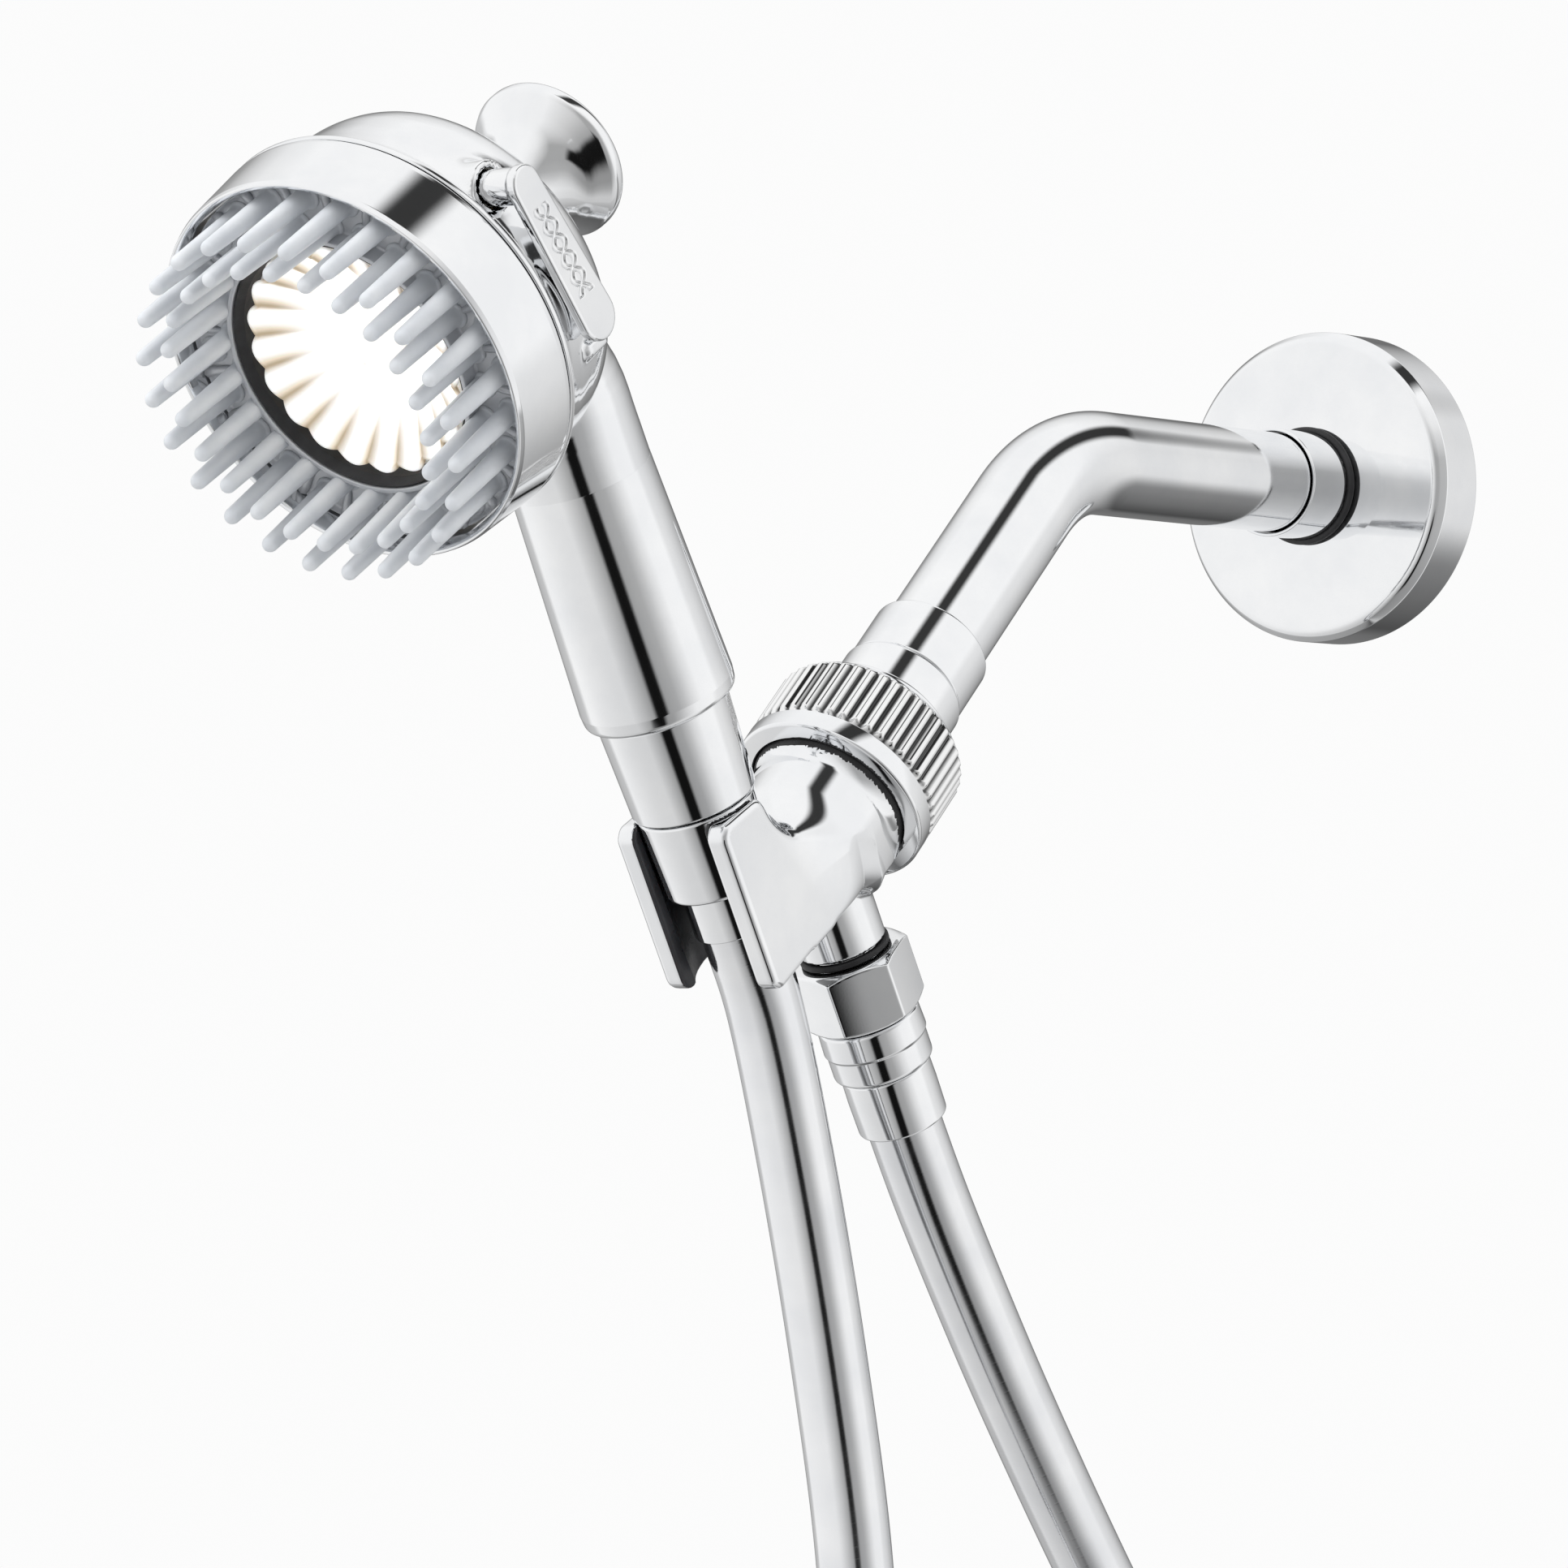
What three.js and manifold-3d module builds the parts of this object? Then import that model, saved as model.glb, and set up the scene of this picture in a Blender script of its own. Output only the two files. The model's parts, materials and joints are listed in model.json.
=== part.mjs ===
// Handheld shower set: a chromed hand shower resting in a swivel holder that hangs on a wall-mounted
// shower arm, with its hose tied up as for storage. Millimetres. The origin is the centre of the wall
// flange's back rim, +X is to the right for someone who faces the wall, +Y runs into the wall, +Z is up.
//
// Most pieces are turned about one of three axes that lie in the plane X = 0. Each axis has its own
// group: inside it, local Y runs along the axis and local Z stays in the plane X = 0.
import * as THREE from "three";
import { mergeVertices } from "three/addons/utils/BufferGeometryUtils.js";
import Module from "manifold-3d";

const wasm = await Module();
wasm.setup();

// ---------------------------------------------------------------- driving dimensions

const GAP = 0.3; // between pieces that touch on the real object
const SIDES = 20; // round outer pieces
const MANY_SIDES = 32; // the widest outer pieces
const FEW_SIDES = 12; // round pieces that are small or inside
const WELD = 1e-4;

const PIPE = { radius: 10.65, bore: 8.4, intoWall: 16, toBend: 107.6, bendRadius: 38, slopeEnd: 80 };
const THREAD = { pitch: 1.8, height: 0.55, ridges: 5, runIn: 1 }; // on the end in the wall
const SLOPE_DEG = 43.5; // how far the arm's outer stretch drops below the horizontal
const FLANGE = { radius: 33.4, depth: 15, wall: 1.8, opening: 11.1, edge: 2 };
const COUPLER = { radius: 12.3, from: 58, to: 70.8 };
const ADAPTER = { neck: 12.8, shoulder: 15.6, flange: 17.3, bore: 7.5, from: 71.2, to: 88.5 };
const BALL = { radius: 17.4, at: 97, cutAt: 89.5, bore: 6 };
const NECK_BAR = { radius: 14.8, taperAt: 111, tip: 12, to: 126 }; // from the ball into the cradle block
const NUT = { radius: 20.1, from: 83.9, ribsTo: 99.2, to: 103.9, lip: 16.3, ribs: 44, ribDepth: 0.8 };

const HANDLE = { y: -213.8, z: -90, leanDeg: 29.5 }; // a point on the handle's axis, and its lean
const CRADLE = { halfWidth: 13.3, slot: 8.8, boreTop: 11.9, boreBottom: 11.2, top: -19.5, bottom: 15.8 };
const OUTLET = { behind: 26.6, radius: 8.7, thread: 7.4, bore: 4.8, shoulderAt: 25.5, endAt: 33 };
const HEX = { corner: 12.7, turnDeg: 15, from: 27.3, to: 40.8, thread: 7.75, lipAt: 36.5, lip: 6.9 };
const TAIL = { stem: 6.4, bore: 3.8 }; // the hollow insert at each end of the hose
const CONE = { top: 11.6, bottom: 11, from: -20.3, to: -3.4, thread: 9.5 };
const COLLAR = { top: 12.9, bottom: 12.2, bore: 6, threadTo: -13 };
const GRIP = { lower: 15.1, upper: 13.6, from: -88, to: -41, bore: 11.7 };

const HEAD = { y: -323.7, z: 0.9, tiltDeg: 33.9, radius: 38, backRadius: 39.1, band: 14.7 };
const MAT = { inner: 24.9, outer: 36, front: 5.6, back: 8.4, lip: 0.9, lipFront: 2.2 };
const NOZZLE = { perRing: 24, rings: [27.2, 32.6], length: 20, base: 2.1, tip: 1.7 };
const CUP = { mouth: 23.1, floor: 12, front: 4.5, back: 16, wall: 1.2, flutes: 20, flute: 1 };
const PLATES = { inner: 19.6, outer: 36 }; // the backing plate and the spray disc behind the mat
const RETAINER = { radius: 17.9, from: 18, to: 20, screws: 3, screwRing: 15.5 };
const HOUSING = { front: 17.6, rim: 37.2, back: 46, wall: 2.3 };
const KNOB = { above: 4.6, radius: 15.6, from: 54, to: 74.2, stem: 3.2 };
const LEVER = { behind: 22.9, above: 22.3, tipBehind: 27.3, tipAbove: -6, plateAt: 36, thick: 2 };

const HOSE = { radius: 7.5, sides: 10, steps: 14 };
const COIL = { radius: 85, y: -110, z: -430, halfWidth: 15.2, legClear: 53, strand: 7.7 };

const SILVER = { color: 0xd9dce0, roughness: 0.12, metalness: 1 };
const FINISH = {
  chrome: SILVER,
  brass: { color: 0xc9a75a, roughness: 0.35, metalness: 0.9 },
  hose: { color: 0xb9bdc2, roughness: 0.3, metalness: 0.4 },
  black: { color: 0x17181a, roughness: 0.7, metalness: 0 },
  silicone: { color: 0xb4b8bd, roughness: 0.5, metalness: 0 },
  cream: { color: 0xe9dfc8, roughness: 0.45, metalness: 0 },
  white: { color: 0xf2f3f1, roughness: 0.4, metalness: 0 },
};
const MATERIALS = Object.fromEntries(
  Object.entries(FINISH).map(([name, look]) => [name, new THREE.MeshStandardMaterial(look)]),
);

// ---------------------------------------------------------------- geometry helpers

const rad = THREE.MathUtils.degToRad;

// Turns the triangles round when they face inwards, so that every helper may list its points either way.
function facingOut(positions, triangles) {
  const corner = [new THREE.Vector3(), new THREE.Vector3(), new THREE.Vector3()];
  let volume = 0;
  for (let i = 0; i < triangles.length; i += 3) {
    corner.forEach((point, k) => point.fromArray(positions, 3 * triangles[i + k]));
    volume += corner[0].dot(corner[1].clone().cross(corner[2]));
  }
  if (volume >= 0) return triangles;
  for (let i = 0; i < triangles.length; i += 3)
    [triangles[i], triangles[i + 1]] = [triangles[i + 1], triangles[i]];
  return triangles;
}

function solid(geometry) {
  const bare = new THREE.BufferGeometry();
  const source = geometry.index ? geometry.toNonIndexed() : geometry;
  bare.setAttribute("position", source.getAttribute("position"));
  const merged = mergeVertices(bare, WELD);
  const kept = [];
  for (let i = 0; i < merged.index.count; i += 3) {
    const [a, b, c] = [0, 1, 2].map((k) => merged.index.getX(i + k));
    if (a !== b && b !== c && c !== a) kept.push(a, b, c);
  }
  const positions = merged.attributes.position.array;
  const triVerts = new Uint32Array(facingOut(positions, kept));
  return new wasm.Manifold(new wasm.Mesh({ numProp: 3, vertProperties: positions, triVerts }));
}

function geometryOf(body) {
  const mesh = body.getMesh();
  const geometry = new THREE.BufferGeometry();
  const positions = new Float32Array(mesh.numVert * 3);
  for (let i = 0; i < mesh.numVert; i++)
    positions.set(mesh.vertProperties.subarray(i * mesh.numProp, i * mesh.numProp + 3), i * 3);
  geometry.setAttribute("position", new THREE.BufferAttribute(positions, 3));
  geometry.setIndex(new THREE.BufferAttribute(mesh.triVerts, 1));
  geometry.computeVertexNormals();
  return geometry;
}

const union = (...bodies) => bodies.reduce((whole, body) => whole.add(body));
const cut = (body, ...tools) => tools.reduce((left, tool) => left.subtract(tool), body);

// Revolves [radius, along] points about local Y; a profile off the axis is closed on itself.
function turned(profile, sides = SIDES) {
  const closed = profile[0][0] === 0 ? profile : [...profile, profile[0]];
  return new THREE.LatheGeometry(
    closed.map(([radius, along]) => new THREE.Vector2(radius, along)),
    sides,
  );
}

const rod = (radius, from, to, sides) =>
  turned([[0, from], [radius, from], [radius, to], [0, to]], sides);

const washer = (inner, outer, from, to, sides) =>
  turned([[inner, from], [outer, from], [outer, to], [inner, to]], sides);

// Points of a circular arc as [radius, along], from one angle to the other, 0 pointing away from the axis.
function arc(centreRadius, centreAlong, radius, fromDeg, toDeg, steps) {
  return Array.from({ length: steps + 1 }, (_, i) => {
    const angle = rad(fromDeg + ((toDeg - fromDeg) * i) / steps);
    return [centreRadius + radius * Math.cos(angle), centreAlong + radius * Math.sin(angle)];
  });
}

// Turns a geometry made about local Y so that it lies about local X.
const alongX = (geometry) => geometry.rotateZ(-Math.PI / 2);

// Extrudes an outline of [z, y] points along local X, from -halfWidth to halfWidth, with soft edges.
function plate(outline, halfWidth, edge) {
  const shape = new THREE.Shape(outline.map(([z, y]) => new THREE.Vector2(-z, y)));
  const geometry = new THREE.ExtrudeGeometry(shape, {
    depth: 2 * (halfWidth - edge),
    bevelEnabled: edge > 0,
    bevelThickness: edge,
    bevelSize: edge,
    bevelOffset: -edge,
    bevelSegments: 2,
    curveSegments: 8,
  });
  return geometry.translate(0, 0, edge - halfWidth).rotateY(Math.PI / 2);
}

// A body of round sections: each is [z, y, radius], square to the line from its neighbours.
function lofted(stations, sides = FEW_SIDES) {
  const centres = stations.map(([z, y]) => new THREE.Vector3(0, y, z));
  const positions = [];
  const triangles = [];
  stations.forEach(([, , radius], i) => {
    const before = centres[Math.max(i - 1, 0)];
    const after = centres[Math.min(i + 1, centres.length - 1)];
    const run = after.clone().sub(before).normalize();
    const across = new THREE.Vector3(1, 0, 0);
    const up = run.clone().cross(across);
    for (let k = 0; k < sides; k++) {
      const angle = (2 * Math.PI * k) / sides;
      const point = centres[i].clone();
      point.addScaledVector(across, radius * Math.cos(angle));
      point.addScaledVector(up, radius * Math.sin(angle));
      positions.push(...point.toArray());
    }
  });
  for (let i = 0; i + 1 < stations.length; i++)
    for (let k = 0; k < sides; k++) {
      const [a, b] = [i * sides + k, i * sides + ((k + 1) % sides)];
      triangles.push(a, b, b + sides, a, b + sides, a + sides);
    }
  const last = (stations.length - 1) * sides;
  for (let k = 1; k + 1 < sides; k++) {
    triangles.push(0, k + 1, k);
    triangles.push(last, last + k, last + k + 1);
  }
  const geometry = new THREE.BufferGeometry();
  geometry.setAttribute("position", new THREE.Float32BufferAttribute(positions, 3));
  return geometry.setIndex(triangles);
}

// A round or ring-shaped section swept along a curve.
function swept(curve, radius, steps, sides) {
  const section = new THREE.Shape();
  for (let k = 0; k <= sides; k++) {
    const angle = (2 * Math.PI * k) / sides;
    const [x, y] = [radius * Math.cos(angle), radius * Math.sin(angle)];
    if (k === 0) section.moveTo(x, y);
    else section.lineTo(x, y);
  }
  return new THREE.ExtrudeGeometry(section, { steps, extrudePath: curve });
}

// ---------------------------------------------------------------- the groups that pieces are placed in

const shower = new THREE.Group();
shower.name = "handheld_shower_set";

function axisGroup(y, z, tiltDeg, parent = shower) {
  const group = new THREE.Group();
  group.position.set(0, y, z);
  group.rotation.x = rad(tiltDeg);
  parent.add(group);
  group.updateMatrixWorld(true);
  return group;
}

const wallAxis = axisGroup(0, 0, 180); // out from the wall
const slopeAxis = axisGroup(-PIPE.toBend, 0, 180 + SLOPE_DEG); // down the arm's outer stretch
const handleAxis = axisGroup(HANDLE.y, HANDLE.z, HANDLE.leanDeg - 90); // down the handle
const outletAxis = axisGroup(0, OUTLET.behind, 0, handleAxis); // down the holder's outlet
const headAxis = axisGroup(HEAD.y, HEAD.z, HEAD.tiltDeg); // from the spray face to the knob

// Moves a geometry made in one group's frame into another's.
function carried(geometry, from, to) {
  return geometry.applyMatrix4(to.matrixWorld.clone().invert().multiply(from.matrixWorld));
}

function add(group, name, material, body) {
  const mesh = new THREE.Mesh(geometryOf(body), MATERIALS[material]);
  mesh.name = name;
  group.add(mesh);
}

// ---------------------------------------------------------------- wall flange and shower arm

function wallFlange() {
  const { radius, depth, wall, opening, edge } = FLANGE;
  const profile = [
    [opening, depth],
    ...arc(radius - edge, depth - edge, edge, 90, 0, 4),
    [radius, 0],
    [radius - wall, 0],
    [radius - wall, depth - wall - edge],
    [radius - wall - edge, depth - wall],
    [opening, depth - wall],
  ];
  return solid(turned(profile, MANY_SIDES));
}

// A stretch of round bar that follows the arm's centre line: straight, bend, straight.
function armCore(radius, overrun) {
  const bendLength = PIPE.bendRadius * Math.tan(rad(SLOPE_DEG / 2));
  const bendAt = PIPE.toBend - bendLength;
  const join = 0.5;
  class Bend extends THREE.Curve {
    getPoint(t, target = new THREE.Vector3()) {
      const angle = rad(SLOPE_DEG) * t;
      const y = -bendAt - PIPE.bendRadius * Math.sin(angle);
      return target.set(0, y, PIPE.bendRadius * (Math.cos(angle) - 1));
    }
  }
  const level = rod(radius, -PIPE.intoWall - overrun, bendAt + join);
  const slope = rod(radius, bendLength - join, PIPE.slopeEnd + overrun);
  return union(
    solid(carried(level, wallAxis, shower)),
    solid(swept(new Bend(), radius, 8, SIDES)),
    solid(carried(slope, slopeAxis, shower)),
  );
}

// Ridges of the pipe thread that goes into the wall fitting.
function wallThread() {
  const { pitch, height, ridges, runIn } = THREAD;
  const start = runIn - PIPE.intoWall;
  const within = PIPE.bore + 1;
  const profile = [[within, start]];
  for (let i = 0; i < ridges; i++) {
    profile.push([PIPE.radius - height, start + i * pitch]);
    profile.push([PIPE.radius - 0.02, start + (i + 0.5) * pitch]);
  }
  profile.push([within, start + ridges * pitch]);
  return turned(profile);
}

function showerArm() {
  const { pitch, height, ridges, runIn } = THREAD;
  const threadEnd = runIn + ridges * pitch - PIPE.intoWall;
  const groove = washer(PIPE.radius - height, PIPE.radius + 1, -PIPE.intoWall - 1, threadEnd);
  const outer = cut(armCore(PIPE.radius, 0), solid(carried(groove, wallAxis, shower)));
  return cut(union(outer, solid(carried(wallThread(), wallAxis, shower))), armCore(PIPE.bore, 1));
}

function buildArm() {
  const ring = { middle: 11.85, radius: 0.85, at: 16.2 };
  const sleeve = { from: 17.4, to: 29.5, inner: PIPE.radius + GAP, outer: 11.6 };
  add(wallAxis, "wall_flange", "chrome", wallFlange());
  const ringProfile = arc(ring.middle, ring.at, ring.radius, 0, 300, 5);
  add(wallAxis, "flange_ring", "black", solid(turned(ringProfile)));
  add(wallAxis, "flange_sleeve", "chrome", solid(washer(sleeve.inner, sleeve.outer, sleeve.from, sleeve.to)));
  add(shower, "shower_arm", "chrome", showerArm());
}

// ---------------------------------------------------------------- swivel joint on the arm's end

function adapterBody() {
  const { neck, shoulder, flange, bore, from, to } = ADAPTER;
  const socket = PIPE.radius + GAP;
  const socketFloor = PIPE.slopeEnd + 1.6;
  const dish = to - 2.1;
  return solid(
    turned([
      [socket, from],
      [neck, from],
      [neck, from + 9],
      [shoulder, from + 9.4],
      [shoulder, to - 4.5],
      [flange, to - 4.3],
      [flange, to],
      [15.9, to],
      [14.8, dish],
      [bore, dish],
      [bore, socketFloor],
      [socket, socketFloor],
    ]),
  );
}

function inletScreen() {
  const [at, thick, holeRadius] = [82.2, 1.2, 1.3];
  const hole = (x, z) => solid(rod(holeRadius, at - 1, at + thick + 1, 8).translate(x, 0, z));
  const ringOfHoles = Array.from({ length: 6 }, (_, i) => {
    const angle = rad(60 * i);
    return hole(4.3 * Math.cos(angle), 4.3 * Math.sin(angle));
  });
  return cut(solid(rod(ADAPTER.bore - GAP, at, at + thick, FEW_SIDES)), hole(0, 0), ...ringOfHoles);
}

function ribbedBand(from, to) {
  const outline = new THREE.Shape();
  const pitch = (2 * Math.PI) / NUT.ribs;
  const valley = NUT.radius - NUT.ribDepth;
  for (let i = 0; i < NUT.ribs; i++) {
    const spots = [[valley, 0.12], [NUT.radius, 0.3], [NUT.radius, 0.7], [valley, 0.88]];
    spots.forEach(([radius, share], k) => {
      const angle = (i + share) * pitch;
      const [x, y] = [radius * Math.cos(angle), radius * Math.sin(angle)];
      if (i === 0 && k === 0) outline.moveTo(x, y);
      else outline.lineTo(x, y);
    });
  }
  const geometry = new THREE.ExtrudeGeometry(outline, { depth: to - from, bevelEnabled: false });
  return geometry.rotateX(-Math.PI / 2).translate(0, from, 0);
}

function collarNut() {
  const { radius, from, ribsTo, to, lip } = NUT;
  const socket = BALL.radius + GAP;
  const valley = radius - NUT.ribDepth;
  const back = rod(valley, from, ribsTo, SIDES);
  const bezel = turned([
    [0, ribsTo],
    [radius - 0.5, ribsTo],
    [radius, ribsTo + 0.5],
    ...arc(radius - 1.6, to - 1.6, 1.6, 0, 90, 4),
    [0, to],
  ]);
  const seat = turned([
    [0, from - 1],
    [socket, from - 1],
    ...arc(0, BALL.at, socket, 0, 22, 4),
    [lip, to + 1],
    [0, to + 1],
  ]);
  return cut(union(solid(back), solid(ribbedBand(from + 1.2, ribsTo - 0.8)), solid(bezel)), solid(seat));
}

function seatWasher() {
  const [from, to, outer] = [ADAPTER.to + GAP, ADAPTER.to + 3.1, 17.35];
  const touching = (along) => Math.sqrt((BALL.radius + GAP) ** 2 - (along - BALL.at) ** 2);
  return solid(turned([[touching(from), from], [outer, from], [outer, to], [touching(to), to]]));
}

function buildSwivel() {
  const inner = PIPE.radius + GAP;
  const gasketAt = PIPE.slopeEnd + GAP;
  add(slopeAxis, "arm_coupler", "chrome", solid(washer(inner, COUPLER.radius, COUPLER.from, COUPLER.to)));
  add(slopeAxis, "swivel_adapter", "chrome", adapterBody());
  add(slopeAxis, "arm_gasket", "black", solid(washer(ADAPTER.bore, PIPE.radius, gasketAt, gasketAt + 1)));
  add(slopeAxis, "inlet_screen", "white", inletScreen());
  add(slopeAxis, "collar_nut", "chrome", collarNut());
  add(slopeAxis, "seat_washer", "black", seatWasher());
}

// ---------------------------------------------------------------- holder: ball, neck, cradle and outlet

// The ball and the neck behind it, about the slope axis.
function ballAndNeck() {
  const { radius, at, cutAt } = BALL;
  const neck = NECK_BAR;
  const rearDeg = (Math.asin((cutAt - at) / radius) * 180) / Math.PI;
  const neckDeg = (Math.acos(neck.radius / radius) * 180) / Math.PI;
  return turned([
    [0, cutAt],
    ...arc(0, at, radius, rearDeg, neckDeg, 8),
    [neck.radius, neck.taperAt],
    [neck.tip, neck.to],
    [0, neck.to],
  ]);
}

// The cradle block seen from its side: [away from the slot, down the handle].
function cradleOutline() {
  const { top, bottom } = CRADLE;
  const [front, corner] = [-10.5, 2];
  return [
    [front, top + corner],
    [front + corner, top],
    [3, top],
    [9, -14.5],
    [18, -10],
    [26, -7],
    [27, 8],
    [26, 12.5],
    [12, 12.8],
    [front + corner, bottom],
    [front, bottom - corner],
  ];
}

function bracketBody() {
  const toHandle = (geometry) => solid(carried(geometry, slopeAxis, handleAxis));
  const toOutlet = (geometry) => solid(geometry.translate(0, 0, OUTLET.behind));
  const { top, bottom, boreTop, boreBottom, slot } = CRADLE;
  const block = solid(plate(cradleOutline(), CRADLE.halfWidth, 1.2));
  const shoulder = rod(OUTLET.radius, 4, OUTLET.shoulderAt);
  const thread = rod(OUTLET.thread, OUTLET.shoulderAt - 1, OUTLET.endAt);
  const cradleBore = turned([[0, top - 1], [boreTop, top - 1], [boreBottom, bottom + 1], [0, bottom + 1]]);
  const slotCut = new THREE.BoxGeometry(2 * slot, bottom - top + 4, 14);
  slotCut.translate(0, (top + bottom) / 2, -7);
  const inlet = rod(BALL.bore, BALL.cutAt - 1, 116, FEW_SIDES);
  const outlet = rod(OUTLET.bore, -2, OUTLET.endAt + 1, FEW_SIDES);
  const dimples = [-1, 1].map((side) =>
    solid(new THREE.SphereGeometry(3.6, 14, 8).translate(side * (CRADLE.halfWidth + 2), -12.5, 12)),
  );
  return cut(
    union(block, toHandle(ballAndNeck()), toOutlet(shoulder), toOutlet(thread)),
    solid(cradleBore),
    solid(slotCut),
    toHandle(inlet),
    toOutlet(outlet),
    ...dimples,
  );
}

function hexNut() {
  const { corner, turnDeg, from, to, thread, lipAt, lip } = HEX;
  const prism = rod(corner, from, to, 6).rotateY(rad(turnDeg));
  const chamfer = 0.9;
  const rounding = turned([
    [0, from],
    [corner - chamfer, from],
    [corner + 0.1, from + chamfer],
    [corner + 0.1, to - chamfer],
    [corner - chamfer, to],
    [0, to],
  ]);
  const bore = turned([
    [0, from - 1],
    [thread, from - 1],
    [thread, lipAt],
    [lip, lipAt],
    [lip, to + 1],
    [0, to + 1],
  ]);
  return solid(prism).intersect(solid(rounding)).subtract(solid(bore));
}

// The hollow insert at a hose end: a flange that the nut draws up, and a stem towards the hose.
function hoseTail({ flange, from, to, stemTo }) {
  return solid(
    turned(
      [
        [TAIL.bore, from],
        [flange, from],
        [flange, to],
        [TAIL.stem, to],
        [TAIL.stem, stemTo],
        [TAIL.bore, stemTo],
      ],
      FEW_SIDES,
    ),
  );
}

function buildHolder() {
  const washerAt = OUTLET.shoulderAt + GAP;
  const softWasher = washer(OUTLET.thread + GAP, 9.1, washerAt, washerAt + 1.2);
  const gasketAt = OUTLET.endAt + GAP;
  const gasket = washer(OUTLET.bore, 7.3, gasketAt, gasketAt + 1, FEW_SIDES);
  const tail = { flange: 7.4, from: 34.6, to: 36.1, stemTo: 58.4 };
  const upper = { radius: 10.5, from: 41.2, to: 52.4, bore: TAIL.stem + 0.5, edge: 1 };
  const lower = { radius: 9.1, from: 52.8, to: 65, bore: HOSE.radius + GAP, edge: 0.6 };
  const ferrule = ({ radius, from, to, bore, edge }) =>
    solid(
      turned([
        [bore, from],
        [radius - edge, from],
        [radius, from + edge],
        [radius, to - edge],
        [radius - edge, to],
        [bore, to],
      ]),
    );
  add(handleAxis, "bracket_body", "chrome", bracketBody());
  add(outletAxis, "outlet_washer", "black", solid(softWasher));
  add(outletAxis, "hex_nut", "chrome", hexNut());
  add(outletAxis, "outlet_gasket", "black", solid(gasket));
  add(outletAxis, "outlet_tail", "brass", hoseTail(tail));
  add(outletAxis, "ferrule_upper", "chrome", ferrule(upper));
  add(outletAxis, "ferrule_lower", "chrome", ferrule(lower));
}

// ---------------------------------------------------------------- hose, tied in a coil as for storage

// Chosen by hand, [x, y, z]: from inside the lower ferrule down the wall side to the coil.
const WALL_LEG = [
  [0, -161.6, -128.3],
  [0, -156.6, -137.1],
  [0, -148.5, -150.5],
  [0, -128, -181],
  [0, -110.5, -205],
  [0, -94, -226.5],
  [1, -74, -253],
  [2.5, -55, -283],
  [4.5, -39.5, -315],
  [6.5, -29, -347],
  [COIL.strand, -25, COIL.z + COIL.legClear],
];

// From inside the handset's ferrule down the front side to the coil.
const HAND_LEG = [
  [0, -213.3, -90.9],
  [0, -208.9, -98.7],
  [0, -203, -110],
  [0, -193, -140],
  [0, -182, -181],
  [0, -174, -220],
  [-1, -170.5, -256],
  [-2.5, -172, -290],
  [-4.5, -179, -322],
  [-6.5, -189, -352],
  [-COIL.strand, -195, COIL.z + COIL.legClear],
];

const hoseLeg = (points) =>
  solid(
    swept(
      new THREE.CatmullRomCurve3(points.map((point) => new THREE.Vector3(...point))),
      HOSE.radius,
      HOSE.steps,
      HOSE.sides,
    ),
  );

// The outer shape of the turns: two strands side by side, closed into one ring about local X.
function hoseCoil() {
  const { radius, y, z, halfWidth } = COIL;
  const side = halfWidth - HOSE.radius;
  const section = [
    ...arc(radius, side, HOSE.radius, 0, 180, 4),
    ...arc(radius, -side, HOSE.radius, 180, 360, 4),
  ];
  return solid(alongX(turned(section, 30)).translate(0, y, z));
}

// A strap round both strands, at the side of the coil where a leg joins it.
function hoseTie(side) {
  const { radius, y, z, halfWidth } = COIL;
  const [width, thick, slack] = [11, 1.2, 0.7];
  const inner = [2 * (halfWidth + slack), 2 * (HOSE.radius + slack)];
  const block = new THREE.BoxGeometry(inner[0] + 2 * thick, inner[1] + 2 * thick, width);
  const hole = new THREE.BoxGeometry(inner[0], inner[1], width + 2);
  const tie = cut(solid(block), solid(hole));
  return solid(geometryOf(tie).translate(0, y + side * radius, z));
}

function buildHose() {
  add(shower, "hose_wall_leg", "hose", hoseLeg(WALL_LEG));
  add(shower, "hose_hand_leg", "hose", hoseLeg(HAND_LEG));
  add(shower, "hose_coil", "hose", hoseCoil());
  add(shower, "hose_tie_front", "black", hoseTie(-1));
  add(shower, "hose_tie_wall", "black", hoseTie(1));
}

// ---------------------------------------------------------------- handle

function coneNut() {
  const { top, bottom, from, to, thread } = CONE;
  const edge = 0.8;
  const floor = to - 3.9;
  const lip = TAIL.stem + 0.5;
  return solid(
    turned([
      [thread, from],
      [top - edge, from],
      [top, from + edge],
      [bottom, to - edge],
      [bottom - edge, to],
      [lip, to],
      [lip, floor],
      [thread, floor],
    ]),
  );
}

function handleCollar() {
  const { bore, top, bottom, threadTo } = COLLAR;
  const plug = GRIP.bore - GAP;
  const plugFrom = GRIP.to - 12;
  return solid(
    turned([
      [bore, plugFrom],
      [plug, plugFrom],
      [plug, GRIP.to],
      [top, GRIP.to + 0.4],
      [bottom, CONE.from - 0.6],
      [CONE.thread - GAP, CONE.from - GAP],
      [CONE.thread - GAP, threadTo],
      [bore, threadTo],
    ]),
  );
}

function gripShell() {
  const { lower, upper, from, to, bore } = GRIP;
  const edge = 1.2;
  return solid(
    turned([
      [bore, to],
      [lower - edge, to],
      [lower, to - edge],
      [upper, from],
      [bore - 0.2, from],
    ]),
  );
}

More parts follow.
